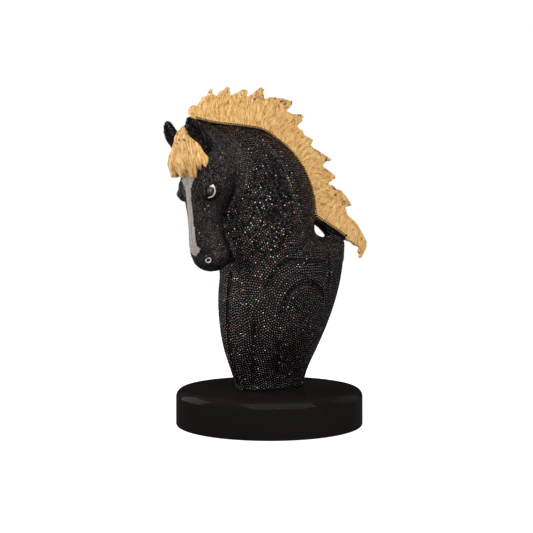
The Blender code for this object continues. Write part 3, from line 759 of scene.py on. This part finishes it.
def painted_facet_glints(kinds, level, spread, shine, rng):
    """A painted glint for each facet of each stone: painted highlights on the tables, dim sides, and
    some painted flashes.

    Kinds are 0 for a plain stone, 1 for a painted white flash, 2 for a painted red one and 3 for a
    painted amber one.
    """
    count = len(kinds)
    sides = rng.uniform(0.0, 0.16, (count, FACETS))
    # A few side facets get a painted sparkle
    sides[rng.uniform(0, 1, sides.shape) > 0.97] = 0.40
    calm = 1 - np.abs(shine)
    table = level + spread * calm * rng.uniform(-1, 1, count) + 0.26 * np.clip(shine, -0.5, 1)
    sides = np.maximum(sides, 0.38 * shine[:, None])
    for kind, low, high in ((1, 0.60, 0.78), (2, 0.82, 0.90), (3, 0.92, 1.0)):
        chosen = kinds == kind
        table[chosen] = rng.uniform(low, high, int(chosen.sum()))
    # Half the side facets of a red or amber flash are painted as bright as its table
    lit = (kinds > 1)[:, None] & (rng.uniform(0, 1, sides.shape) > 0.5)
    sides = np.where(lit, table[:, None], sides)
    sides[:, TABLE_FACE] = table
    return sides


def set_stones(name, places, normals, sizes, settings, rng, glints):
    """Repeat the cut stone at many places, each with its own turn and lean."""
    corners, faces = stone_shape(settings.rise)
    count = len(places)
    lean = normals + rng.normal(0, math.tan(settings.tilt), (count, 3))
    up = lean / np.linalg.norm(lean, axis=1)[:, None]
    ref = np.where(np.abs(up[:, 2:]) < 0.9, (0.0, 0.0, 1.0), (1.0, 0.0, 0.0))
    right = np.cross(ref, up)
    right /= np.linalg.norm(right, axis=1)[:, None]
    ahead = np.cross(up, right)
    turn = rng.uniform(0, math.pi / 3, count)[:, None]
    across = right * np.cos(turn) + ahead * np.sin(turn)
    over = ahead * np.cos(turn) - right * np.sin(turn)
    axes = np.stack([across, over, up], axis=1)
    size = (sizes * rng.uniform(0.95, 1.03, count))[:, None, None]
    verts = places[:, None, :] + size * (corners @ axes)
    loops = np.concatenate([np.array(face) for face in faces])
    lengths = np.array([len(face) for face in faces])
    begins = np.concatenate(([0], np.cumsum(lengths)[:-1]))
    every = np.arange(count)[:, None]
    data = bpy.data.meshes.new(name)
    data.vertices.add(count * len(corners))
    data.vertices.foreach_set("co", verts.ravel())
    data.loops.add(count * len(loops))
    data.loops.foreach_set("vertex_index", (loops[None, :] + every * len(corners)).ravel())
    data.polygons.add(count * len(faces))
    data.polygons.foreach_set("loop_start", (begins[None, :] + every * len(loops)).ravel())
    data.update(calc_edges=True)
    made = add_object(name, data)
    # Each facet keeps its painted glint
    mark(made, "glint", "FACE", glints)
    return made


def fill(tree, node, values):
    """Set inputs of a node, each to a value or to the output of another node."""
    for key, value in values.items():
        if isinstance(value, bpy.types.NodeSocket):
            tree.links.new(value, node.inputs[key])
        else:
            node.inputs[key].default_value = value
    return node


def add(tree, kind, values=None, **settings):
    """A new shader node with its settings and inputs."""
    node = tree.nodes.new("ShaderNode" + kind)
    for key, value in settings.items():
        setattr(node, key, value)
    return fill(tree, node, values or {})


def new_material(name):
    """A material with its tree and Principled shader."""
    material = bpy.data.materials.new(name)
    material.use_nodes = True
    tree = material.node_tree
    return material, tree, tree.nodes["Principled BSDF"]


def ramp(tree, factor, stops):
    """A colour read from (place, colour) stops by a factor."""
    node = add(tree, "ValToRGB", {"Fac": factor})
    band = node.color_ramp
    while len(band.elements) < len(stops):
        band.elements.new(1.0)
    for element, (place, colour) in zip(band.elements, stops):
        element.position = place
        element.color = (*colour, 1.0)
    return node.outputs["Color"]


def between(tree, value, low, high):
    """A value from 0 to 1 spread between two others."""
    return add(tree, "MapRange", {"Value": value, "To Min": low, "To Max": high}).outputs["Result"]


def times(tree, a, b):
    """The product of two numbers."""
    return add(tree, "Math", {0: a, 1: b}, operation="MULTIPLY").outputs[0]


def blend(tree, share, a, b):
    """A colour between two others."""
    return add(tree, "Mix", {"Factor": share, "A": a, "B": b}, data_type="RGBA").outputs["Result"]


def painted(tree, name):
    """A number stored on the mesh."""
    return add(tree, "Attribute", attribute_name=name).outputs["Fac"]


def grain_group():
    """Node group: fine uneven grain as a height and a broader patch, at given coordinates."""
    old = bpy.data.node_groups.get("surface_grain")
    if old:
        return old
    group = bpy.data.node_groups.new("surface_grain", "ShaderNodeTree")
    for name, way, kind in (("Place", "INPUT", "Vector"), ("Scale", "INPUT", "Float"),
                            ("Stretch", "INPUT", "Vector"), ("Height", "OUTPUT", "Float"),
                            ("Patch", "OUTPUT", "Float")):
        group.interface.new_socket(name=name, in_out=way, socket_type="NodeSocket" + kind)
    given = group.nodes.new("NodeGroupInput").outputs
    where = add(group, "VectorMath", {0: given["Place"], 1: given["Stretch"]},
                operation="MULTIPLY").outputs[0]
    fine = add(group, "TexNoise", {"Vector": where, "Scale": given["Scale"], "Detail": 4.0,
                                   "Roughness": 0.6, "Distortion": 0.6})
    broad = add(group, "TexNoise", {"Vector": where, "Scale": times(group, given["Scale"], 0.22),
                                    "Detail": 3.0})
    fill(group, group.nodes.new("NodeGroupOutput"),
         {"Height": fine.outputs["Fac"], "Patch": broad.outputs["Fac"]})
    return group


def place_grain(tree, scale, stretch=(1.0, 1.0, 1.0), along="Object"):
    """Outputs of the grain group in a material, on Object or UV coordinates."""
    where = add(tree, "TexCoord").outputs[along]
    return add(tree, "Group", {"Place": where, "Scale": scale, "Stretch": stretch},
               node_tree=grain_group()).outputs


def plain_material(name, scale, stops, output="Patch", **values):
    """A material whose colour varies a little with the grain."""
    material, tree, shader = new_material(name)
    colour = ramp(tree, place_grain(tree, scale)[output], stops)
    fill(tree, shader, {"Base Color": colour})
    fill(tree, shader, {key.replace("_", " "): value for key, value in values.items()})
    return material


def stone_material(name, stops, rough, metal):
    """Cut glass over foil, whose colour is read from each facet's painted glint: painted highlights and
    flashes.
    """
    material, tree, shader = new_material(name)
    fill(tree, shader, {"Base Color": ramp(tree, painted(tree, "glint"), stops),
                        "Roughness": between(tree, place_grain(tree, 900.0)["Height"], *rough),
                        "Metallic": metal})
    return material


def black_stone_material(settings):
    """Black cut glass, lighter on the tables by painted highlights, with painted white, red and amber
    flashes.
    """
    black = np.array(settings.black)
    return stone_material("black_cut_stones", [
        (0.0, black * 0.1), (0.25, black * 1.2), (0.30, black * 4.0), (0.50, black * 26.0),
        (0.60, black * 42.0),
        # Painted white flashes, then painted red and amber ones
        (0.62, (0.26, 0.24, 0.23)), (0.80, (0.80, 0.75, 0.72)), (0.82, rgb(124, 62, 52)),
        (0.90, rgb(160, 90, 74)), (0.92, rgb(206, 130, 80)), (1.0, rgb(238, 184, 128))],
        (0.14, 0.34), 1.0)


def white_stone_material(settings):
    """Clear white cut glass over a pale back, lighter on the tables by painted highlights."""
    white = np.array(settings.white)
    return stone_material("white_cut_stones", [
        (0.0, white * 0.40), (0.25, white * 0.80), (0.30, white * 1.15), (0.60, white * 1.28),
        (0.62, white * 1.3), (1.0, white * 1.5)], (0.25, 0.45), 0.12)


def skin_material(settings):
    """Matt black ground between the stones, white under the blaze."""
    material, tree, shader = new_material("stone_ground")
    tone = ramp(tree, place_grain(tree, 700.0)["Patch"],
                [(0.3, (0.002, 0.0016, 0.0016)), (0.7, (0.007, 0.0055, 0.0055))])
    share = ramp(tree, painted(tree, "white"), [(0.0, (0.0,) * 3), (0.1, (1.0,) * 3)])
    white = (*(0.6 * c for c in settings.white), 1.0)
    fill(tree, shader, {"Base Color": blend(tree, share, tone, white), "Roughness": 0.6,
                        "Specular IOR Level": 0.2})
    return material


def gold_material(settings):
    """Wrinkled gold leaf, in painted shade in the hollows and painted highlight on the crests, with
    specks of dark ground where it is torn.
    """
    old = bpy.data.materials.get("wrinkled_gold_leaf")
    if old:
        return old
    material, tree, shader = new_material("wrinkled_gold_leaf")
    strands = place_grain(tree, 1.0, (62.0, 11.0, 1.0), "UV")
    wrinkles = place_grain(tree, 380.0)
    height = add(tree, "Mix", {"Factor": 0.3, "A": strands["Height"],
                               "B": wrinkles["Height"]}).outputs[0]
    gold = np.array(settings.gold)
    # Painted shade in the hollows of the strands and wrinkles, painted highlight on their crests
    tone = ramp(tree, height, [
        (0.38, gold * (0.50, 0.38, 0.28)), (0.45, gold * (0.84, 0.76, 0.66)),
        (0.52, gold), (0.60, gold * (1.14, 1.32, 1.80))])
    torn = ramp(tree, times(tree, painted(tree, "worn"), wrinkles["Height"]),
                [(0.47, (0.0,) * 3), (0.53, (1.0,) * 3)])
    bump = add(tree, "Bump", {"Strength": 0.9, "Distance": 0.0011, "Height": height})
    fill(tree, shader, {"Base Color": blend(tree, torn, tone, (*settings.bole, 1.0)),
                        "Roughness": between(tree, wrinkles["Patch"], 0.30, 0.55),
                        "Metallic": 0.2, "Normal": bump.outputs["Normal"]})
    return material


def lacquer_material(settings):
    """Deep black lacquer with a faint brown cast and a trace of dust."""
    material, tree, shader = new_material("black_lacquer")
    grain = place_grain(tree, 60.0)
    lacquer = np.array(settings.lacquer)
    fill(tree, shader, {
        "Base Color": ramp(tree, grain["Patch"], [(0.35, 0.85 * lacquer), (0.65, 1.2 * lacquer)]),
        "Roughness": between(tree, grain["Height"], 0.10, 0.16),
        "Specular IOR Level": 0.0, "Coat Weight": 0.14, "Coat Roughness": 0.03})
    return material


def mane_outline():
    """The mane's outline: down the root line, then back over the tail and the tufts."""
    root = [Vector(point) for point in smooth_line(MANE_ROOT, 4)]
    seat = []
    for i, point in enumerate(root):
        along = (root[min(i + 1, len(root) - 1)] - root[max(i - 1, 0)]).normalized()
        seat.append(point - Vector((along.y, -along.x)) * 2.6)
    edge = [Vector(point) for point in MANE_EDGE]
    ragged = []
    for a, b in zip(edge, edge[1:] + edge[-1:]):
        ragged.append(a)
        steps = int((b - a).length / 1.2)
        for k in range(1, steps):
            place = a.lerp(b, k / steps)
            shake = waver(place.x * 0.6, place.y * 0.6, 3.0)
            ragged.append(place + (b - a).orthogonal().normalized() * 0.5 * shake)
    return seat + ragged[::-1]


def make_mane(settings):
    """The mane: a flat crest of flame tufts with strands that run out from its root."""
    mesh = bmesh.new()
    half = settings.root_thickness / 2
    verts = [mesh.verts.new(spot(p.x, -half / PART, p.y)) for p in mane_outline()]
    face = mesh.faces.new(verts)
    grown = bmesh.ops.extrude_face_region(mesh, geom=[face])
    raised = [item for item in grown["geom"] if isinstance(item, bmesh.types.BMVert)]
    bmesh.ops.translate(mesh, verts=raised, vec=(2 * half, 0, 0))
    bmesh.ops.triangulate(mesh, faces=mesh.faces)
    made = finish(mesh, "mane_leaf")
    fuse(made, settings.grain)
    root = np.array(smooth_line(MANE_ROOT, 16))
    stations = stations_of(root)
    places = places_of(made)
    forward, left, up = figure_parts(places)
    worn = np.zeros(len(places))
    flow = np.zeros((len(places), 2))
    for i in range(len(places)):
        gaps = np.hypot(root[:, 0] - forward[i], root[:, 1] - up[i])
        nearest = int(gaps.argmin())
        reach = gaps[nearest]
        away = min(1.0, reach / 34)
        thin_share = 1 + (settings.tip_thickness / settings.root_thickness - 1) * away ** 0.8
        face_sign = 1.0 if left[i] > 0 else -1.0
        bend = waver(forward[i] / 14.0, up[i] / 14.0, face_sign)
        station = stations[nearest] + 2.5 * math.sin(reach / 6.0) + 3.5 * bend
        flow[i] = station, reach
        strand = waver(station / 2.2, reach / 11.0, face_sign * 7.0)
        lock = waver(station / 7.0, reach / 26.0, face_sign * 3.0)
        seated = min(1.0, max(0.0, (reach - 1.5) / 4.0))
        relief = settings.strand_depth * (0.9 - 1.8 * abs(strand) + 1.4 * lock) * seated
        places[i, 0] = places[i, 0] * thin_share + face_sign * min(relief, 0.0004)
        torn = waver(forward[i] / 5.0, up[i] / 5.0, face_sign * 2.0)
        worn[i] = 0.62 + 0.28 * torn + 0.24 * away ** 3
    put_places(made, places)
    give_flow(made, flow, worn)
    return made


def give_flow(made, flow, worn):
    """Give a gilded piece its UV map, which follows the strands, and where it is worn."""
    corners = np.empty(len(made.data.loops), dtype=np.int32)
    made.data.loops.foreach_get("vertex_index", corners)
    layer = made.data.uv_layers.new(name="flow")
    layer.data.foreach_set("uv", (flow[corners] / 100.0).ravel().astype(np.float32))
    mark(made, "worn", "POINT", worn)
    made.data.shade_smooth()


def forehead(up, turn):
    """A place on the forehead and the way out of it, by height and turn from the face."""
    front, half_width, widest, roundness = read_rows(FOREHEAD, up)[1:]
    power = 2 / roundness
    arc = []
    for step in (turn - 0.02, turn, turn + 0.02):
        c, s = math.cos(step), math.sin(step)
        arc.append(Vector((widest + (front - widest) * abs(c) ** power,
                           math.copysign(half_width * abs(s) ** power, s), up)))
    along = arc[2] - arc[0]
    return arc[1], Vector((along.y, -along.x, 0)).normalized()


def make_forelock(settings):
    """The forelock: a mass of strands that fans over the forehead to a ragged hem."""
    mesh = bmesh.new()
    bmesh.ops.create_grid(mesh, x_segments=FORELOCK_GRID[0], y_segments=FORELOCK_GRID[1], size=1.0)
    grown = bmesh.ops.extrude_face_region(mesh, geom=list(mesh.faces))
    for item in grown["geom"]:
        if isinstance(item, bmesh.types.BMVert):
            item.co.z = 1.0
    made = finish(mesh, "forelock_leaf")
    places = places_of(made)
    hem = np.array(FORELOCK_HEM, dtype=float)
    edge = math.radians(hem[-1][0])
    worn = np.zeros(len(places))
    flow = np.zeros((len(places), 2))
    for i, (across, down, outer) in enumerate(places.tolist()):
        down = (1 - down) / 2
        end = np.interp(math.degrees(across * edge), hem[:, 0], hem[:, 1])
        up = FORELOCK_TOP + (end - FORELOCK_TOP) * down
        wave = 0.05 * math.sin(9.0 * down + 11.0 * across) * down
        turn = (across + wave) * math.radians(read_rows(FORELOCK_SPREAD, up)[1])
        place, out = forehead(up, turn)
        arc = turn * 27.0
        strand = waver(arc / 2.4, up / 13.0, 1.0)
        lock = waver(arc / 7.0, up / 30.0, 5.0)
        tips = min(1.0, 6.0 * (1.0 - down)) ** 0.5
        full = min(1.0, 0.35 + 2.6 * down) * (0.45 + 0.55 * tips) * (1.0 - 0.25 * abs(across) ** 4)
        lift = FORELOCK_LIFT * max(0.0, -across) ** 0.7 * min(1.0, down * 1.25) ** 2
        lift += FORELOCK_FLICK * max(0.0, -4.0 * across - 3.0) * down ** 6
        rise = 3.4 * full + 2.4 * lock * full - 1.5 * abs(strand) + lift
        place += out * (rise if outer > 0.5 else min(0.45 * lift - 1.2, rise - 0.6))
        places[i] = spot(*place)
        flow[i] = arc, up
        torn = waver(arc / 2.5, up / 2.0, 6.0)
        level = up + 4.0 * waver(arc / 3.0, 0.0, 9.0)
        rings = max(math.exp(-((level - 262) / 1.8) ** 2), math.exp(-((level - 254) / 1.5) ** 2))
        worn[i] = 0.60 + 0.3 * torn + 0.36 * rings
    put_places(made, places)
    give_flow(made, flow, worn)
    return made


def make_eye(skin, side, word):
    """A polished black eye, and a small amber bead on it that stands for a painted reflection."""
    seat, normal, _, _ = skin.find_nearest(spot(EYE_SPOT[0], side * EYE_SPOT[1], EYE_SPOT[2]))
    turn = normal.to_track_quat("Z", "Y").to_matrix().to_4x4()
    made = []
    # The second piece is an amber bead that paints the eye's glint of reflected light
    for name, place, size in (("eye_", seat - normal * 1.5 * PART, (3.0, 4.2, 2.9)),
                              ("eye_glint_", seat + normal * 1.0 * PART, (0.9, 1.3, 0.7))):
        mesh = bmesh.new()
        ball = bmesh.ops.create_uvsphere(mesh, u_segments=32, v_segments=20, radius=PART)
        shape = Matrix.Translation(place) @ turn @ Matrix.Diagonal((*size, 1.0))
        bmesh.ops.transform(mesh, matrix=shape, verts=ball["verts"])
        ball = finish(mesh, name + word)
        ball.data.shade_smooth()
        made.append(ball)
    return made


def corner(mesh, skin, side):
    """The three-cornered white patch over the eye's front corner."""
    seats = [skin.find_nearest(spot(f, side * l, u)) for f, l, u in EYE_CORNER]
    low = [mesh.verts.new(seat - normal * 0.4 * PART) for seat, normal, _, _ in seats]
    high = [mesh.verts.new(seat + normal * 1.2 * PART) for seat, normal, _, _ in seats]
    mesh.faces.new(low)
    mesh.faces.new(high)
    for i in range(3):
        mesh.faces.new((low[i], low[i - 1], high[i - 1], high[i]))


def ring(mesh, skin, side):
    """The white ring round a nostril."""
    forward, left, up = NOSTRIL
    seats = [skin.find_nearest(spot(forward + a, side * left, up + b))
             for a, b in ((4, 0), (-4, 0), (0, 4), (0, -4))]
    normal = sum((seat[1] for seat in seats), Vector()).normalized()
    centre = spot(forward, side * left, up)
    across = normal.cross(Vector((0, 0, 1))).normalized()
    over = across.cross(normal)
    verts = []
    for i in range(RING_STEPS):
        turn = 2 * math.pi * i / RING_STEPS
        way = across * math.cos(turn) + over * math.sin(turn)
        start = centre + way * NOSTRIL_RING * PART + normal * 6 * PART
        seat = skin.ray_cast(start, -normal)[0] + normal * 0.3 * PART
        half = (0.62 + 0.12 * math.sin(3 * turn + 1.0)) * PART
        verts.append([])
        for k in range(BAND_STEPS):
            lean = 2 * math.pi * k / BAND_STEPS
            verts[i].append(mesh.verts.new(seat + way * half * math.cos(lean)
                                           + normal * 1.1 * half * math.sin(lean)))
    for i in range(RING_STEPS):
        for k in range(BAND_STEPS):
            mesh.faces.new((verts[i][k], verts[i][k - 1], verts[i - 1][k - 1], verts[i - 1][k]))


def ribbon(mesh, skin, points, width, side):
    """A raised band that follows a line on the skin."""
    seats = [skin.find_nearest(spot(f, side * l, u))[:2] for f, l, u in smooth_line(points, 6)]
    rings = []
    for i, (seat, normal) in enumerate(seats):
        along = (seats[min(i + 1, len(seats) - 1)][0] - seats[max(i - 1, 0)][0]).normalized()
        across = along.cross(normal).normalized()
        down = i / (len(seats) - 1)
        half = 0.5 * width * PART * max(0.25, math.sin(math.pi * (0.15 + 0.8 * down)) ** 0.5)
        turns = [2 * math.pi * k / BAND_STEPS for k in range(BAND_STEPS)]
        rings.append([seat + across * half * math.cos(turn)
                      + normal * (0.45 + 0.8 * math.sin(turn)) * PART for turn in turns])
    loft(mesh, rings)


def white_band(mesh, name):
    """A band of white enamel with the glint of a pale stone."""
    made = finish(mesh, name)
    fuse(made, 0.00025)
    relax(made, 2)
    mark(made, "glint", "FACE", np.full(len(made.data.polygons), 0.30))
    made.data.shade_smooth()
    return made


class FIGURINE_OT_skin(bpy.types.Operator):
    """Make the black ground that the stones are set on"""
    bl_idname = "figurine.skin"
    bl_label = "Skin"

    def execute(self, context):
        settings = context.scene.figurine_stones
        made = make_skin(settings)
        dress(made, skin_material(settings), "black_stones", "bust")
        return {"FINISHED"}


class FIGURINE_OT_stones(bpy.types.Operator):
    """Set the black stones in rows and the white ones on the blaze"""
    bl_idname = "figurine.stones"
    bl_label = "Stones"

    def execute(self, context):
        settings = context.scene.figurine_stones
        ground, skin = find_ground(context)
        places, normals, spaces = lay_stones(ground, skin, settings)
        rng = np.random.default_rng(settings.seed)
        forward, left, up = figure_parts(places)
        head = in_head(forward, up)
        blaze = blaze_depth(forward, left, up) > 0
        kinds = np.where(blaze, 0, choose_painted_flashes(forward, up, head, rng))
        shine = painted_light_on_lines(places, skin)
        level, spread = painted_glint_level(forward, up, head)
        black, white = black_stone_material(settings), white_stone_material(settings)
        body, low, front = ~head, up <= 150, forward > -5
        for name, chosen, material, slot in (
                ("stones_head", head & ~blaze, black, "black_stones"),
                ("stones_neck", body & ~low, black, "black_stones"),
                ("stones_chest", body & low & front, black, "black_stones"),
                ("stones_shoulder", body & low & ~front, black, "black_stones"),
                ("stones_blaze", blaze, white, "white_stones")):
            glints = painted_facet_glints(kinds[chosen], level[chosen], spread[chosen], shine[chosen], rng)
            dress(set_stones(name, places[chosen], normals[chosen], spaces[chosen], settings,
                             rng, glints), material, slot)
        edge, ways = crest_rows(1.05 * settings.body_pitch)
        outermost = np.arange(len(edge)) < len(edge) / len(CREST_ROWS)
        sizes = np.where(outermost, OUTER_ROW_SIZE, 1.0) * settings.body_pitch
        plain = np.zeros(len(edge))
        # The crest rows get a low painted glint, darker to dim the gold's reflection in them
        glints = painted_facet_glints(plain, 0.34, 0.05, plain, rng)
        dress(set_stones("stones_edge", edge, ways, sizes, settings, rng, glints),
              black, "black_stones")
        return {"FINISHED"}


class FIGURINE_OT_eyes(bpy.types.Operator):
    """Make the eyes with their white crescents, and the nostril rings"""
    bl_idname = "figurine.eyes"
    bl_label = "Eyes and nostrils"

    def execute(self, context):
        skin = find_ground(context)[1]
        white = bpy.data.materials.get("white_cut_stones")
        if white is None:
            raise RuntimeError("set the stones before the eyes")
        polished = plain_material(
            "polished_black", 300.0, [(0.3, (0.004, 0.003, 0.003)), (0.7, (0.012, 0.007, 0.006))],
            Roughness=0.06, Coat_Weight=0.5)
        # Amber bead colour: the eye's painted glint of reflected light
        amber = plain_material(
            "amber_glint", 500.0, [(0.3, rgb(120, 50, 22)), (0.7, rgb(226, 124, 62))],
            "Height", Roughness=0.25)
        for side, word in zip(SIDES, ("left", "right")):
            eye, glint = make_eye(skin, side, word)
            dress(eye, polished, "black_stones")
            dress(glint, amber, "black_stones")
            mesh = bmesh.new()
            ribbon(mesh, skin, EYE_CRESCENT, EYE_BAND, side)
            corner(mesh, skin, side)
            dress(white_band(mesh, "eye_white_" + word), white, "white_stones")
            mesh = bmesh.new()
            ring(mesh, skin, side)
            dress(white_band(mesh, "nostril_" + word), white, "white_stones")
        return {"FINISHED"}


class FIGURINE_OT_mane(bpy.types.Operator):
    """Make the gilded mane"""
    bl_idname = "figurine.mane"
    bl_label = "Mane"

    def execute(self, context):
        settings = context.scene.figurine_gold
        dress(make_mane(settings), gold_material(settings), "gold_leaf", "mane")
        return {"FINISHED"}


class FIGURINE_OT_forelock(bpy.types.Operator):
    """Make the gilded forelock"""
    bl_idname = "figurine.forelock"
    bl_label = "Forelock"

    def execute(self, context):
        settings = context.scene.figurine_gold
        dress(make_forelock(settings), gold_material(settings), "gold_leaf", "forelock")
        return {"FINISHED"}


class FIGURINE_OT_plinth(bpy.types.Operator):
    """Turn the lacquered plinth"""
    bl_idname = "figurine.plinth"
    bl_label = "Plinth"

    def execute(self, context):
        settings = context.scene.figurine_plinth
        radius, top = PLINTH_HIGH.x, PLINTH_HIGH.z
        outline = [(0, 0), (radius - settings.bottom_edge, 0)]
        low, high = settings.bottom_edge, settings.top_edge
        for turn in np.radians(np.arange(0, 91, 15)):
            outline.append((radius - low * (1 - math.sin(turn)), low * (1 - math.cos(turn))))
        for turn in np.radians(np.arange(0, 91, 7.5)):
            outline.append((radius - high * (1 - math.cos(turn)), top - high * (1 - math.sin(turn))))
        outline.append((0, top))
        mesh = bmesh.new()
        verts = [mesh.verts.new((x, 0, z)) for x, z in outline]
        edges = [mesh.edges.new(pair) for pair in zip(verts, verts[1:])]
        bmesh.ops.spin(mesh, geom=verts + edges, cent=(0, 0, 0), axis=(0, 0, 1),
                       angle=2 * math.pi, steps=settings.segments, use_merge=True)
        bmesh.ops.remove_doubles(mesh, verts=mesh.verts, dist=1e-6)
        made = finish(mesh, "plinth_turned")
        made.data.shade_smooth()
        made.data.set_sharp_from_angle(angle=math.radians(40))
        dress(made, lacquer_material(settings), "plinth_lacquer", "plinth")
        return {"FINISHED"}


def show(tree, out, given, seen):
    """Show one surface to the camera and give another to the pieces."""
    path = add(tree, "LightPath")
    mix = add(tree, "MixShader", {"Fac": path.outputs["Is Camera Ray"], 1: given, 2: seen})
    fill(tree, out, {"Surface": mix.outputs[0]})


def floor_material():
    """A pale floor that the camera sees run into the white behind it."""
    material, tree, shader = new_material("pale_floor")
    fill(tree, shader, {"Base Color": (0.80, 0.80, 0.80, 1.0), "Roughness": 0.9,
                        "Specular IOR Level": 0.0, "Emission Color": (1.0, 1.0, 1.0, 1.0),
                        "Emission Strength": 0.9})
    plain = add(tree, "BsdfDiffuse", {"Color": (0.30, 0.30, 0.30, 1.0)})
    show(tree, tree.nodes["Material Output"], plain.outputs[0], shader.outputs[0])
    return material


def light_world(scene):
    """White for the camera; for the pieces a soft room that is dark straight behind."""
    world = bpy.data.worlds.new("studio")
    scene.world = world
    world.use_nodes = True
    tree = world.node_tree
    tree.nodes.clear()
    seen = add(tree, "Background", {"Color": (1.0, 1.0, 1.0, 1.0)})
    where = add(tree, "TexCoord").outputs["Generated"]
    shares = []
    for way, start, end, low, high in (((-0.766, 0.643, 0.0), 0.80, 0.95, 1.0, 0.22),
                                       ((-0.35, -0.80, 0.48), -1.0, 1.0, 0.12, 0.48)):
        toward = add(tree, "VectorMath", {0: where, 1: way}, operation="DOT_PRODUCT")
        shares.append(add(tree, "MapRange", {
            "Value": toward.outputs["Value"], "From Min": start, "From Max": end,
            "To Min": low, "To Max": high}).outputs["Result"])
    given = add(tree, "Background", {"Strength": times(tree, *shares)})
    show(tree, add(tree, "OutputWorld"), given.outputs[0], seen.outputs[0])


class FIGURINE_OT_stage(bpy.types.Operator):
    """Set the pale floor, the soft light and the camera"""
    bl_idname = "figurine.stage"
    bl_label = "Stage"

    def execute(self, context):
        settings = context.scene.figurine_stage
        scene = context.scene
        scene.view_settings.view_transform = "Standard"
        mesh = bmesh.new()
        bmesh.ops.create_grid(mesh, x_segments=1, y_segments=1, size=8.0)
        bmesh.ops.translate(mesh, verts=mesh.verts, vec=(0, 0, PLINTH_LOW.z - 0.0005))
        floor = finish(mesh, "floor")
        floor.data.materials.append(floor_material())
        light_world(scene)
        # Lamps by place along, to the right of and above the camera's way
        ahead = Vector((-math.sin(settings.turn), math.cos(settings.turn), 0))
        right = Vector((math.cos(settings.turn), math.sin(settings.turn), 0))
        key, rim, spark = settings.key_power, settings.rim_power, settings.spark_power
        for name, along, aside, above, size, power in (
                ("key", -1.1, 0.25, 1.0, 2.2, key), ("rim", 0.45, -1.3, 0.5, 1.2, rim),
                ("rim_right", 0.55, 1.2, 0.5, 1.2, rim / 5),
                ("spark_a", -1.2, -0.5, 0.7, 0.09, spark),
                ("spark_b", -1.3, 0.2, 0.35, 0.09, spark),
                ("spark_c", -0.8, 1.1, 0.5, 0.09, spark)):
            lamp = bpy.data.lights.new(name, "AREA")
            lamp.size = size
            lamp.energy = power
            lit = add_object(name, lamp)
            lit.location = along * ahead + aside * right + Vector((0, 0, above))
            aim = LIT_MIDDLE - lit.location
            lit.rotation_euler = aim.to_track_quat("-Z", "Y").to_euler()
        camera = add_object("camera", bpy.data.cameras.new("camera"))
        camera.data.lens = 62.83
        camera.data.sensor_width = 36.0
        camera.location = -ahead * settings.distance - right * 0.00304 + Vector((0, 0, 0.1802))
        look = ahead - Vector((0, 0, math.tan(math.radians(0.67))))
        camera.rotation_euler = look.to_track_quat("-Z", "Y").to_euler()
        scene.camera = camera
        return {"FINISHED"}


class FIGURINE_PT_panel(bpy.types.Panel):
    """Lists the steps of the figurine in the sidebar"""
    bl_label = "Horse head figurine"
    bl_idname = "FIGURINE_PT_panel"
    bl_space_type = "VIEW_3D"
    bl_region_type = "UI"
    bl_category = "Figurine"

    def draw(self, context):
        for step in STEPS:
            self.layout.operator(step.bl_idname)


STEPS = (FIGURINE_OT_skin, FIGURINE_OT_stones, FIGURINE_OT_eyes, FIGURINE_OT_mane,
         FIGURINE_OT_forelock, FIGURINE_OT_plinth, FIGURINE_OT_stage)
GROUPS = {"figurine_stones": StoneSettings, "figurine_gold": GoldSettings,
          "figurine_plinth": PlinthSettings, "figurine_stage": StageSettings}


def register():
    for name, group in GROUPS.items():
        bpy.utils.register_class(group)
        setattr(bpy.types.Scene, name, PointerProperty(type=group))
    for step in (*STEPS, FIGURINE_PT_panel):
        bpy.utils.register_class(step)


def unregister():
    for step in (FIGURINE_PT_panel, *reversed(STEPS)):
        bpy.utils.unregister_class(step)
    for name, group in GROUPS.items():
        delattr(bpy.types.Scene, name)
        bpy.utils.unregister_class(group)


def main():
    register()
    bpy.ops.figurine.skin()
    bpy.ops.figurine.stones()
    bpy.ops.figurine.eyes()
    bpy.ops.figurine.mane()
    bpy.ops.figurine.forelock()
    bpy.ops.figurine.plinth()
    bpy.ops.figurine.stage()
    bpy.context.view_layer.update()


if __name__ == "__main__":
    main()
